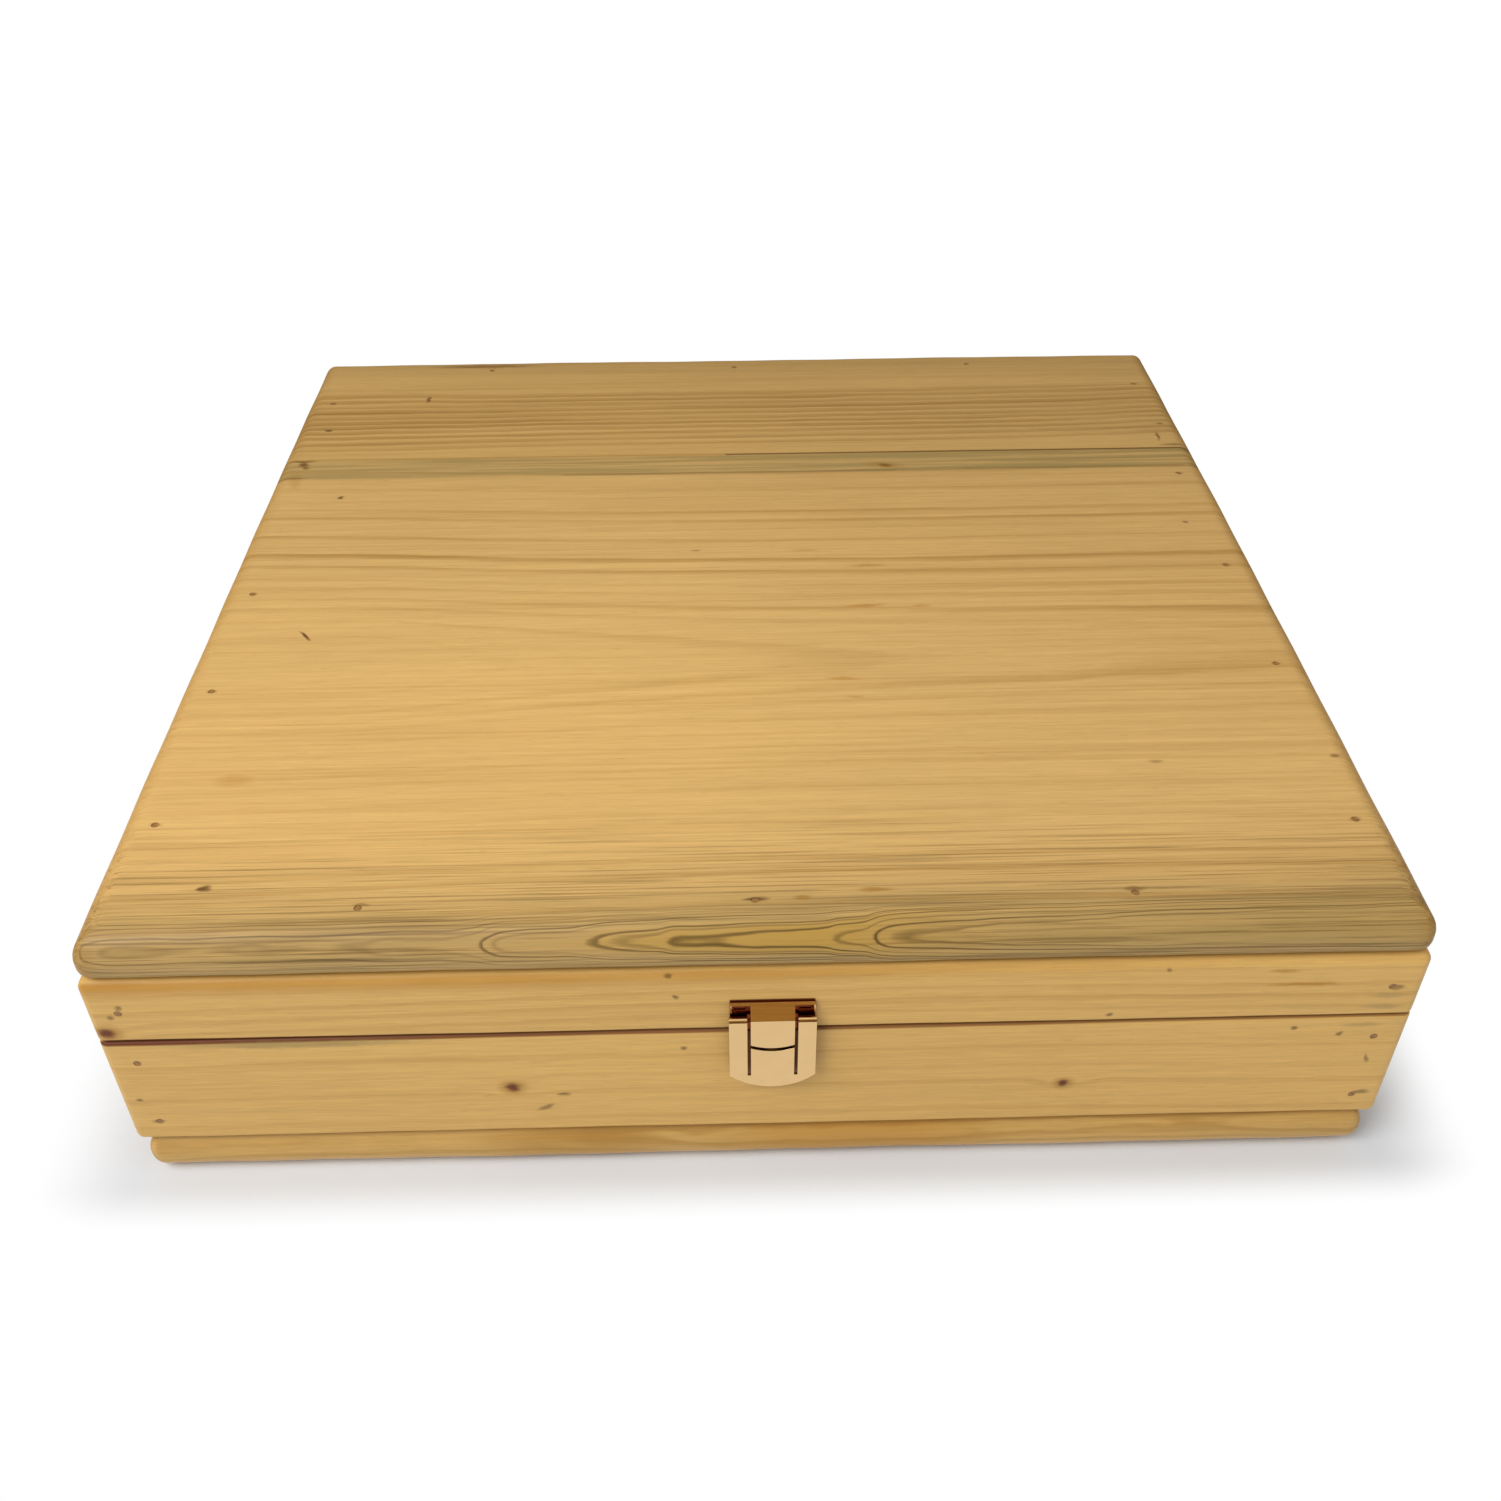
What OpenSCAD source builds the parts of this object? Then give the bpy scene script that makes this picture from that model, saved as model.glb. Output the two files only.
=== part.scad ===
// Hinged-lid tool box of lacquered pine boards, with a duckbill latch in front and two butt hinges.
// Millimetres. X runs along the front from left to right, Y towards the back, Z up.
// The origin lies under the middle of the frame, on the surface that the box stands on.

/* [Box] */
// Width of the frame, left to right
box_w = 400; // [260:1:600]
// Depth of the frame, front to back
box_d = 392; // [260:1:600]
// Height of the base frame's boards
base_h = 46.6; // [40:0.2:120]
// Height of the lid frame's boards
lid_h = 25; // [21:1:80]
// Thickness of the frame's boards
wall_t = 20; // [18:0.5:28]
// Gap between the base frame and the lid frame
seam_gap = 0.7; // [0.2:0.1:1]

/* [Top and bottom boards] */
// Thickness of the top board
top_t = 16; // [12:0.5:22]
// Thickness of the bottom board
bottom_t = 16; // [12:0.5:22]
// How far the top board stands past the frame in front and behind; below zero it stands back
top_proud = -0.2; // [-1:0.1:3]
// How far the top board's ends stay inside the frame's sides
top_end_inset = 0.8; // [0:0.1:3]
// How far the bottom board stands past the frame in front and behind
bottom_proud = 1; // [0:0.1:3]
// How far the bottom board's ends stay inside the frame's sides
bottom_end_inset = 2; // [0:0.1:3]
// Width of the top's rear plank, from the back of the frame
top_rear_w = 106; // [60:1:180]
// Width of the bottom's rear plank, from the back of the frame
bottom_rear_w = 150; // [60:1:200]

/* [Rounded edges] */
// Rounding of the top board's edge, above and below
top_round = 7.4; // [2:0.1:8]
// Rounding of the bottom board's edge, above and below
bottom_round = 7.4; // [2:0.1:8]
// Rounding of both boards' corners, seen from above
board_corner_round = 4.5; // [2:0.5:10]
// Rounding of the frame's upright corners
frame_corner_round = 2.5; // [1:0.5:5]
// Rounding of the lid frame's upper edge, beside the top board
lid_top_round = 3.2; // [1:0.1:5]
// Rounding of both frames' edges at the seam
seam_round = 1.1; // [0.5:0.1:2]
// Rounding of the base frame's lower edge
base_foot_round = 2.2; // [0.5:0.1:4]

/* [Brads] */
// Radius of a brad's shank
brad_r = 0.8; // [0.5:0.1:1.2]
// Length of a brad
brad_len = 34; // [26:1:38]
// Radius of a brad's head
brad_head_r = 1.2; // [1.2:0.1:1.8]
// Height of a brad's head
brad_head_t = 0.9; // [0.5:0.1:2]
// Depth of a brad's head below the wood's surface
brad_set = 0.25; // [0:0.05:0.6]
// Distance of the top's and bottom's brads from the frame's edge
brad_inset = 13.5; // [10:0.5:16]

/* [Hinges] */
// Length of a hinge along the back
hinge_l = 50; // [40:1:60]
// Distance of a hinge's outer end from the frame's side
hinge_inset = 62; // [40:1:65]
// Reach of a leaf into the frame, from the back
leaf_w = 15.5; // [13:0.5:16]
// Thickness of a leaf
leaf_t = 1.2; // [1:0.1:1.4]
// Outer radius of the knuckles
knuckle_r = 2.4; // [2.2:0.1:3]
// Distance of the hinge pin's axis behind the frame
hinge_out = 2.7; // [2.6:0.1:4]
// Radius of the hinge pin
hinge_pin_r = 1.25; // [1:0.05:1.3]

/* [Latch] */
// Place of the latch's middle, to the right of the box's middle
latch_x = 3.8; // [-40:0.1:40]
// Width of the lever
lever_w = 26.4; // [25:0.1:32]
// Width of the plate
plate_w = 25.6; // [24:0.1:25]
// Width of the plate's bill and of the lever's tongue
bill_w = 13.3; // [12:0.1:14]
// Height of the plate's upper edge above the seam
plate_top = 12.7; // [12:0.1:14]
// Height of the pin's axis above the seam
pivot_up = 6.5; // [6:0.1:7]
// Distance of the pin's axis from the front of the frame
pivot_out = 2.3; // [2.1:0.1:2.6]
// Drop of the bill's lower edge below the seam
bill_drop = 4.6; // [4:0.1:5]
// Drop of the lever's lower edge below the seam
lever_drop = 22.6; // [21:0.1:26]
// Thickness of the lever's and the bill's metal
latch_t = 0.9; // [0.7:0.05:1]

/* [Hidden] */
$fn = 64;

// One overrun serves every cut, and one play every driven or screwed hole
cut_over = 1;
hole_play = 0.03;

// Heights of the faces, from the bottom up
seam_z = bottom_t + base_h + seam_gap / 2;
lid_low_z = seam_z + seam_gap / 2;
lid_top_z = lid_low_z + lid_h;
box_top_z = lid_top_z + top_t;

// Brads of the top and bottom, set by eye: shares of the depth from the middle for the rows
// along the left and right sides, and shares of the width for the rows in front and behind
left_row_shares = [-0.367, -0.189, -0.031, 0.222, 0.38];
right_row_shares = [-0.388, -0.175, -0.007, 0.181, 0.403];
end_row_shares = [-0.2925, -0.0025, 0.2775];

// Corner brads: where they stand, and their heights as shares of their board's height
corner_brad_x = box_w / 2 - wall_t / 2;
base_brad_shares = [0.2, 0.8];
lid_brad_shares = [0.5];

// Hinges: the axis, the running play, the knuckles' count and the gap between two of them
hinge_y = box_d / 2 + hinge_out;
hinge_x = box_w / 2 - hinge_inset - hinge_l / 2;
pin_play = 0.05;
knuckles = 5;
knuckle_gap = 0.2;
leaf_clear = 0.35;
pin_head_r = 1.9;
pin_head_t = 0.8;

// Wood screws of the hinges and of the latch: head radius, shank radius, head height, length
hinge_screw = [2.7, 1.4, 1.5, 13];
latch_screw = [1.7, 0.8, 0.9, 9];
// Where they stand, and the slot across their heads
hinge_screw_pitch = 17;
slot_w = 0.6;
slot_d = 0.5;

// Latch plate: sheet, strip along the upper edge, side rims, screws
plate_t = 0.6;
plate_low = 0.9;
strip_h = 0.9;
strip_out = 0.7;
rim_t = 0.5;
rim_out = 0.5;
rim_clear = 0.45;
plate_screw_x = 9.9;
plate_screw_up = 10;

// Lever: the barrels rolled round the pin, the faces of the arms, the slots and the curved lower edge
latch_pin_r = 0.65;
barrel_gap = 0.35;
barrel_r = pivot_out - plate_t - barrel_gap;
lever_face = pivot_out + barrel_r;
lever_back = lever_face - latch_t;
lever_slot = 1;
lever_low_sag = 5.5;

// Bill: its face, the crease at the foot of the ramp, and the sag of its curved lower edge
bill_step = 0.05;
bill_face = lever_face - bill_step;
bill_back = bill_face - latch_t;
crease_up = 7.5;
bill_sag = 1.4;
bill_gap = 1.3;
lug_h = 2.4;

// Catch: plate, screws, and the nose that the lever's lip hooks under
catch_w = 12.4;
catch_top = 1.2;
catch_low = 16.5;
catch_t = 0.8;
catch_corner = 1;
catch_screw_x = 3.6;
catch_screw_low = 12;
nose_w = 8.4;
nose_h = 1.4;
nose_out = 1.6;
lip_w = 9;
lip_h = 1;
lip_in = 1.05;
lip_gap = 0.3;

module along_x(len) rotate([90, 0, 90]) linear_extrude(len, center = true) children();
module along_y(len) rotate([90, 0, 0]) linear_extrude(len, center = true) children();

// Rectangle with its foot on the X axis and its lower and upper corners rounded
module edge_profile(w, h, low, high) {
    translate([-w / 2, low]) square([w, h - low - high]);
    translate([-w / 2 + low, 0]) square([w - 2 * low, h - high]);
    translate([-w / 2 + high, low]) square([w - 2 * high, h - low]);
    for (side = [-1, 1]) {
        translate([side * (w / 2 - low), low]) circle(low);
        translate([side * (w / 2 - high), h - high]) circle(high);
    }
}

// Rectangle about the origin with four rounded corners
module round_rect(w, d, r) {
    square([w - 2 * r, d], center = true);
    square([w, d - 2 * r], center = true);
    for (x = [-1, 1]) for (y = [-1, 1])
        translate([x * (w / 2 - r), y * (d / 2 - r)]) circle(r);
}

// Board or frame outline, rounded in all three views
module rounded_block(w, d, h, corner, low, high) {
    intersection() {
        linear_extrude(h) round_rect(w, d, corner);
        along_y(d + 2 * cut_over) edge_profile(w, h, low, high);
        along_x(w + 2 * cut_over) edge_profile(d, h, low, high);
    }
}

// Box with its foot on the board's lower face, between two places across and two in depth
module span(x_from, x_to, y_from, y_to, h)
    translate([x_from, y_from, 0]) cube([x_to - x_from, y_to - y_from, h]);

// One of the four boards of a frame: front and back run full width, left and right between them
module frame_board(which, h, low, high) {
    half_w = box_w / 2;
    half_d = box_d / 2;
    inner_d = half_d - wall_t;
    intersection() {
        rounded_block(box_w, box_d, h, frame_corner_round, low, high);
        if (which == "front") span(-half_w, half_w, -half_d, -inner_d, h);
        else if (which == "back") span(-half_w, half_w, inner_d, half_d, h);
        else if (which == "left") span(-half_w, wall_t - half_w, -inner_d, inner_d, h);
        else span(half_w - wall_t, half_w, -inner_d, inner_d, h);
    }
}

// Brad that points down, with its head's top at the origin; play widens it to cut its hole
module brad(play = 0) {
    translate([0, 0, -brad_len - play]) cylinder(h = brad_len, r = brad_r + play);
    translate([0, 0, -brad_head_t - play]) cylinder(h = brad_head_t + play, r = brad_head_r + play);
    if (play > 0) cylinder(h = brad_set + cut_over, r = brad_head_r + play);
}

// Countersunk wood screw that points down; size is head radius, shank radius, head height, length
module wood_screw(size, play = 0) {
    difference() {
        union() {
            translate([0, 0, -size[2]])
                cylinder(h = size[2], r1 = size[1] + play, r2 = size[0] + play);
            translate([0, 0, -size[3] + size[1] - play]) cylinder(h = size[3] - size[1], r = size[1] + play);
            translate([0, 0, -size[3] - play])
                cylinder(h = size[1], r1 = size[1] / 4 + play, r2 = size[1] + play);
            if (play > 0) cylinder(h = cut_over, r = size[0] + play);
        }
        if (play == 0) translate([0, 0, -slot_d / 2])
            cube([2 * size[0] + cut_over, slot_w, slot_d], center = true);
    }
}

// Brads through the top or bottom board: a row along each side, and one in front and behind
module board_brads(play = 0) {
    row_x = box_w / 2 - brad_inset;
    row_y = box_d / 2 - brad_inset;
    for (share = left_row_shares) translate([-row_x, share * box_d, 0]) brad(play);
    for (share = right_row_shares) translate([row_x, share * box_d, 0]) brad(play);
    for (side = [-1, 1]) for (share = end_row_shares)
        translate([share * box_w, side * row_y, 0]) brad(play);
}

module top_brad_places(play = 0) translate([0, 0, box_top_z - brad_set]) board_brads(play);
module bottom_brad_places(play = 0) translate([0, 0, brad_set]) mirror([0, 0, 1]) board_brads(play);

// Brads through the front and back boards into the ends of the side boards
module corner_brads(foot_z, board_h, shares, play = 0) {
    for (x = [-1, 1]) for (share = shares) for (face = [0, 1]) mirror([0, face, 0])
        translate([x * corner_brad_x, brad_set - box_d / 2, foot_z + share * board_h])
            rotate([90, 0, 0]) brad(play);
}

module base_corner_places(play = 0) corner_brads(bottom_t, base_h, base_brad_shares, play);
module lid_corner_places(play = 0) corner_brads(lid_low_z, lid_h, lid_brad_shares, play);

// Hinges stand at the same distance left and right of the middle
module at_hinge(side) translate([side * hinge_x, hinge_y, seam_z]) children();

module leaf_screws(play = 0) {
    for (i = [-1, 0, 1])
        translate([i * hinge_screw_pitch, -hinge_out - leaf_w / 2, -seam_gap / 2])
            wood_screw(hinge_screw, play);
}

// Shallow mortise for one leaf in the frame's edge
module leaf_mortise() {
    reach = leaf_w + hinge_out + hole_play;
    translate([-hinge_l / 2 - hole_play, -reach, -seam_gap / 2 - leaf_t - hole_play])
        cube([hinge_l + 2 * hole_play, reach + cut_over, leaf_t + hole_play + cut_over]);
}

// Knuckle number i of the row, counted from the left end; grow lengthens and widens it
module knuckle(i, grow = 0) {
    len = hinge_l / knuckles;
    translate([-hinge_l / 2 + i * len + knuckle_gap / 2 - grow, 0, 0]) rotate([0, 90, 0])
        cylinder(h = len - knuckle_gap + 2 * grow, r = knuckle_r + grow);
}

// Leaf below the axis: flat plate with its own knuckles rolled from it, cut free of the other leaf's
module hinge_leaf(own, other) {
    difference() {
        union() {
            translate([-hinge_l / 2, -hinge_out - leaf_w, -seam_gap / 2 - leaf_t])
                cube([hinge_l, hinge_out + leaf_w, leaf_t]);
            for (i = own) knuckle(i);
        }
        for (i = other) knuckle(i, leaf_clear);
        rotate([0, 90, 0])
            cylinder(h = hinge_l + 2 * cut_over, r = hinge_pin_r + pin_play, center = true);
        leaf_screws(hole_play);
    }
}

module base_leaf() color("goldenrod") hinge_leaf([0, 2, 4], [1, 3]);
module lid_leaf() color("goldenrod") mirror([0, 0, 1]) hinge_leaf([1, 3], [0, 2, 4]);

module hinge_pin() {
    color("darkgoldenrod") rotate([0, 90, 0]) {
        cylinder(h = hinge_l + 2 * pin_play, r = hinge_pin_r, center = true);
        for (end = [0, 1]) mirror([0, 0, end]) translate([0, 0, hinge_l / 2 + pin_play])
            cylinder(h = pin_head_t, r = pin_head_r);
    }
}

// Latch pieces are drawn with X to the right, Y up from the seam and Z out from the front
module at_latch() translate([latch_x, -box_d / 2, seam_z]) rotate([90, 0, 0]) children();

// Side outline drawn as [out, up] and carried across a width
module across(width) rotate([0, -90, 0]) linear_extrude(width, center = true) children();

module latch_screw_places(play = 0) at_latch() for (side = [-1, 1])
    translate([side * plate_screw_x, plate_screw_up, plate_t]) wood_screw(latch_screw, play);

module catch_screw_places(play = 0) at_latch() for (side = [-1, 1])
    translate([side * catch_screw_x, -catch_screw_low, catch_t]) wood_screw(latch_screw, play);

// Everything driven or let into the boards of the base
module base_holes() {
    base_corner_places(hole_play);
    bottom_brad_places(hole_play);
    catch_screw_places(hole_play);
    for (side = [-1, 1]) at_hinge(side) {
        leaf_mortise();
        leaf_screws(hole_play);
    }
}

// Everything driven or let into the boards of the lid
module lid_holes() {
    lid_corner_places(hole_play);
    top_brad_places(hole_play);
    latch_screw_places(hole_play);
    for (side = [-1, 1]) at_hinge(side) mirror([0, 0, 1]) {
        leaf_mortise();
        leaf_screws(hole_play);
    }
}

module bottom_plank(from, to) {
    half_w = box_w / 2 - bottom_end_inset;
    color("burlywood") difference() {
        intersection() {
            rounded_block(2 * half_w, box_d + 2 * bottom_proud, bottom_t,
                board_corner_round, bottom_round, bottom_round);
            span(-half_w, half_w, from, to, bottom_t);
        }
        bottom_brad_places(hole_play);
    }
}

module bottom_plank_front()
    bottom_plank(-box_d / 2 - bottom_proud, box_d / 2 - bottom_rear_w);
module bottom_plank_rear()
    bottom_plank(box_d / 2 - bottom_rear_w, box_d / 2 + bottom_proud);

module base_board(which) {
    color("tan") difference() {
        translate([0, 0, bottom_t]) frame_board(which, base_h, base_foot_round, seam_round);
        base_holes();
    }
}

module lid_board(which) {
    color("tan") difference() {
        translate([0, 0, lid_low_z]) frame_board(which, lid_h, seam_round, lid_top_round);
        lid_holes();
    }
}

module lid_plank(from, to) {
    half_w = box_w / 2 - top_end_inset;
    color("burlywood") difference() {
        translate([0, 0, lid_top_z]) intersection() {
            rounded_block(2 * half_w, box_d + 2 * top_proud, top_t,
                board_corner_round, top_round, top_round);
            span(-half_w, half_w, from, to, top_t);
        }
        top_brad_places(hole_play);
    }
}

module lid_plank_front() lid_plank(-box_d / 2 - top_proud, box_d / 2 - top_rear_w);
module lid_plank_rear() lid_plank(box_d / 2 - top_rear_w, box_d / 2 + top_proud);

// Curved lower edge: everything above an arc that hangs by sag below its ends
module above_arc(width, drop, sag) {
    r = (width * width / 4 + sag * sag) / (2 * sag);
    translate([0, r - drop]) circle(r, $fn = 128);
}

// Plate of the latch: sheet with side rims, and a bill that slopes out from its upper edge
module latch_plate() {
    strip_face = strip_out + (bill_face - strip_out) * strip_h / (plate_top - crease_up);
    rim_low = pivot_up + barrel_r + rim_clear;
    color("gold") at_latch() difference() {
        union() {
            translate([-plate_w / 2, plate_low, 0]) cube([plate_w, plate_top - plate_low, plate_t]);
            across(plate_w) polygon([[0, plate_top], [strip_out, plate_top],
                [strip_face, plate_top - strip_h], [0, plate_top - strip_h]]);
            for (side = [-1, 1]) translate([side * (plate_w - rim_t) / 2, 0, 0])
                across(rim_t) polygon([[0, plate_top], [strip_out, plate_top],
                    [plate_t + rim_out, plate_top - strip_h], [plate_t + rim_out, rim_low],
                    [0, rim_low]]);
            bill();
            translate([-bill_w / 2, pivot_up - lug_h / 2, 0]) cube([bill_w, lug_h, bill_back + latch_t / 2]);
        }
        translate([0, pivot_up, pivot_out]) rotate([0, 90, 0])
            cylinder(h = bill_w + 2 * cut_over, r = latch_pin_r + hole_play, center = true);
        for (side = [-1, 1]) translate([side * plate_screw_x, plate_screw_up, plate_t])
            wood_screw(latch_screw, hole_play);
    }
}

module bill() {
    intersection() {
        across(bill_w) polygon([[0, plate_top], [strip_out, plate_top], [bill_face, crease_up],
            [bill_face, -bill_drop], [bill_back, -bill_drop], [bill_back, crease_up - latch_t / 3],
            [plate_t, plate_top - 2 * strip_h], [0, plate_top - 2 * strip_h]]);
        linear_extrude(bill_face) {
            above_arc(bill_w, bill_drop, bill_sag);
            translate([-bill_w / 2, 0]) square([bill_w, plate_top]);
        }
    }
}

// Front outline of the lever: two arms, the web below them, and the tongue between the slots
module lever_outline() {
    half = lever_w / 2;
    inner = bill_w / 2 + lever_slot;
    side_drop = lever_drop - lever_low_sag;
    difference() {
        intersection() {
            translate([-half, -lever_drop]) square([lever_w, lever_drop + pivot_up]);
            above_arc(lever_w, lever_drop, lever_low_sag);
        }
        translate([-inner, -side_drop]) square([2 * inner, side_drop + pivot_up + cut_over]);
    }
    intersection() {
        translate([-bill_w / 2, -lever_drop + lever_low_sag / 2])
            square([bill_w, lever_drop - lever_low_sag / 2]);
        difference() {
            translate([-bill_w / 2, -lever_drop]) square([bill_w, lever_drop]);
            above_arc(bill_w, bill_drop + bill_gap, bill_sag);
        }
    }
}

// Lever of the latch: arms rolled round the pin, and a lip behind the tongue that takes the catch
module latch_lever() {
    lip_top = bill_drop + bill_gap + lip_gap;
    arm = (lever_w - bill_w) / 2 - lever_slot;
    color("khaki") at_latch() difference() {
        union() {
            translate([0, 0, lever_back]) linear_extrude(latch_t) lever_outline();
            for (side = [-1, 1]) translate([side * (lever_w - arm) / 2, pivot_up, pivot_out])
                rotate([0, 90, 0]) cylinder(h = arm, r = barrel_r, center = true);
            translate([-lip_w / 2, -lip_top - lip_h, lever_back - lip_in])
                cube([lip_w, lip_h, lip_in + latch_t / 2]);
        }
        translate([0, pivot_up, pivot_out]) rotate([0, 90, 0])
            cylinder(h = lever_w + 2 * cut_over, r = latch_pin_r + pin_play, center = true);
    }
}

module latch_pin() {
    color("goldenrod") at_latch() translate([0, pivot_up, pivot_out]) rotate([0, 90, 0])
        cylinder(h = lever_w, r = latch_pin_r, center = true);
}

// Catch on the base: plate with a nose that stands out just above the lever's lip
module catch_plate() {
    nose_low = bill_drop + bill_gap;
    color("gold") at_latch() difference() {
        union() {
            translate([0, -(catch_top + catch_low) / 2, 0])
                linear_extrude(catch_t) round_rect(catch_w, catch_low - catch_top, catch_corner);
            across(nose_w) polygon([[0, nose_h - nose_low + nose_out / 2],
                [catch_t, nose_h - nose_low + nose_out / 2], [catch_t + nose_out, -nose_low + nose_h / 2],
                [catch_t + nose_out, -nose_low], [0, -nose_low]]);
        }
        for (side = [-1, 1]) translate([side * catch_screw_x, -catch_screw_low, catch_t])
            wood_screw(latch_screw, hole_play);
    }
}

module base_front_board() base_board("front");
module base_back_board() base_board("back");
module base_left_board() base_board("left");
module base_right_board() base_board("right");
module lid_front_board() lid_board("front");
module lid_back_board() lid_board("back");
module lid_left_board() lid_board("left");
module lid_right_board() lid_board("right");

module base_corner_brads() color("dimgray") base_corner_places();
module bottom_brads() color("dimgray") bottom_brad_places();
module lid_corner_brads() color("dimgray") lid_corner_places();
module lid_top_brads() color("dimgray") top_brad_places();

module hinge_base_screws()
    color("goldenrod") for (side = [-1, 1]) at_hinge(side) leaf_screws();
module hinge_lid_screws()
    color("goldenrod") for (side = [-1, 1]) at_hinge(side) mirror([0, 0, 1]) leaf_screws();
module catch_screws() color("goldenrod") catch_screw_places();
module latch_plate_screws() color("goldenrod") latch_screw_places();

bottom_plank_front();
bottom_plank_rear();
base_front_board();
base_back_board();
base_left_board();
base_right_board();
base_corner_brads();
bottom_brads();
at_hinge(-1) base_leaf();  // left_hinge_base_leaf
at_hinge(1) base_leaf();  // right_hinge_base_leaf
at_hinge(-1) hinge_pin();  // left_hinge_pin
at_hinge(1) hinge_pin();  // right_hinge_pin
hinge_base_screws();
catch_plate();
catch_screws();
lid_plank_front();
lid_plank_rear();
lid_front_board();
lid_back_board();
lid_left_board();
lid_right_board();
lid_corner_brads();
lid_top_brads();
at_hinge(-1) lid_leaf();  // left_hinge_lid_leaf
at_hinge(1) lid_leaf();  // right_hinge_lid_leaf
hinge_lid_screws();
latch_plate();
latch_plate_screws();
latch_pin();
latch_lever();
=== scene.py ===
import math

import bmesh
import bpy
import numpy as np
from mathutils import Matrix, Vector


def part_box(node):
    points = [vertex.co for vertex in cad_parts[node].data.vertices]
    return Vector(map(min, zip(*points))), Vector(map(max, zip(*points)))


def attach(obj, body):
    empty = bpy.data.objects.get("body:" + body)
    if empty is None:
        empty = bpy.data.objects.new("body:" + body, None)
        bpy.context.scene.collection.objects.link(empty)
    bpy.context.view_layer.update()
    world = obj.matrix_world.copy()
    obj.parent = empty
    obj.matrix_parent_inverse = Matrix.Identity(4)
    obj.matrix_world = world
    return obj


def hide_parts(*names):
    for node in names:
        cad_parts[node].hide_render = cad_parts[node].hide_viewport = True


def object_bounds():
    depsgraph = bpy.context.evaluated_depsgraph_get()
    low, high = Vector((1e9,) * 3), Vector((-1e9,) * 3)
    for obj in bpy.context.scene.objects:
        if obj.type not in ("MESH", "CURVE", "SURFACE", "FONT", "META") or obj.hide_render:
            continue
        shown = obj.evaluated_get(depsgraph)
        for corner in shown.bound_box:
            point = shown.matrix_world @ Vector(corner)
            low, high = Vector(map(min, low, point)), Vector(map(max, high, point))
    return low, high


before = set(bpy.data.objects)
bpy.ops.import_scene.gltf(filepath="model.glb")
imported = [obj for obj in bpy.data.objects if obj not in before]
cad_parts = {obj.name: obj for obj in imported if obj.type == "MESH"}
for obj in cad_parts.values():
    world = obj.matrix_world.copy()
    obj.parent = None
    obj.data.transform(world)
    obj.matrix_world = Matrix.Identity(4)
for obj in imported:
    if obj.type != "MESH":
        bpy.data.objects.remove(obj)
CAD_BOX = [list(corner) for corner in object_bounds()]

bl_info = {
    "name": "Pine Tool Box",
    "version": (1, 0, 0),
    "blender": (4, 5, 0),
    "location": "3D View > Sidebar > Tool Box",
    "description": "Dresses the tool box's boards, latch and hinges with wood, metal and studio light",
    "category": "Object",
}

MM = 0.001

# Meshes: points nearer than this are one. Edges past these angles in degrees stay sharp, or are rounded
MERGE = 0.001 * MM
WOOD_SHARP, METAL_SHARP, FOLD_FROM = 35, 28, 40
# Steps in a quarter circle of a board's edge and of its corner, and sides of a brad hole
EDGE_STEPS, CORNER_STEPS, HOLE_SIDES = 13, 8, 28
# How far in, in roundings, the flat rings lie that hold a board's faces
HOLD = 1.3
# The cut-away of a brad hole below the head and above the wood
HOLE_BELOW, HOLE_ABOVE = 0.5 * MM, 3 * MM
# Latch in millimetres: depths of the plate's recess and the bill's inner side, the crease above the lever;
# together they bound the recess's painted shade
RECESS_FLOOR, BILL_INNER, CREASE_RISE = 0.67, 2.6, 0.4
# Each metal's roughness, strength of its polishing lines and share by which its tone is mottled
LATCH_POLISH, PIN_POLISH = (0.13, 0.15, 0.03), (0.2, 0.2, 0.05)
SHEET_POLISH, SCREW_POLISH = (0.22, 0.3, 0.05), (0.25, 0.3, 0.06)
# Studio in metres: half the floor and its lines, the card's rings and the lines up it
FLOOR_REACH, FLOOR_LINES, CARD_LINES = 6, 25, 65
CARD_REACHES, CARD_HEIGHTS = (0.42, 0.8, 0.8), (0.002, 0.002, 1.1)
# The card's shade along its height in metres, from light 0 to dark 1
CARD_SHADE = (
    (0.0, 1.0), (0.12, 1.0), (0.15, 0.1), (0.20, 0.1), (0.23, 1.0), (0.42, 1.0), (0.5, 0.0), (1.1, 0.0))
# The paper's shadow, real and painted: its width, and how much distances to the side, to the front and
# upwards count
HALO_WIDTH, HALO_SQUASH = 0.019, (0.5, 1.0, 0.0)
# Lamps and camera in metres, but the sensor's width in millimetres
LAMP_AIM = (0, 0, 0.05)
KEY_PLACE, KEY_WIDTH, FILL_PLACE, FILL_WIDTH = (-0.85, -0.7, 1.2), 0.9, (1.1, -0.6, 1.3), 1.0
SENSOR, CLIP = 36, (0.01, 50)


def linear(code):
    """An sRGB hex colour as linear red, green and blue."""
    shares = [int(code[i:i + 2], 16) / 255 for i in (0, 2, 4)]
    return tuple(s / 12.92 if s <= 0.04045 else ((s + 0.055) / 1.055) ** 2.4 for s in shares)


def length(name, description, millimetres):
    """A length that the user can set, given here in millimetres."""
    return bpy.props.FloatProperty(
        name=name, description=description, default=millimetres * MM,
        subtype="DISTANCE", unit="LENGTH", precision=5)


def tint(name, description, code):
    """A colour that the user can set, given here as sRGB hex."""
    return bpy.props.FloatVectorProperty(
        name=name, description=description, default=linear(code), subtype="COLOR", size=3, min=0, max=1)


def angle(name, description, degrees):
    """An angle that the user can set, given here in degrees."""
    return bpy.props.FloatProperty(
        name=name, description=description, default=math.radians(degrees), subtype="ANGLE", unit="ROTATION")


def power(name, description, watts):
    """A lamp's power that the user can set."""
    return bpy.props.FloatProperty(name=name, description=description, default=watts, unit="POWER")


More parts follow.
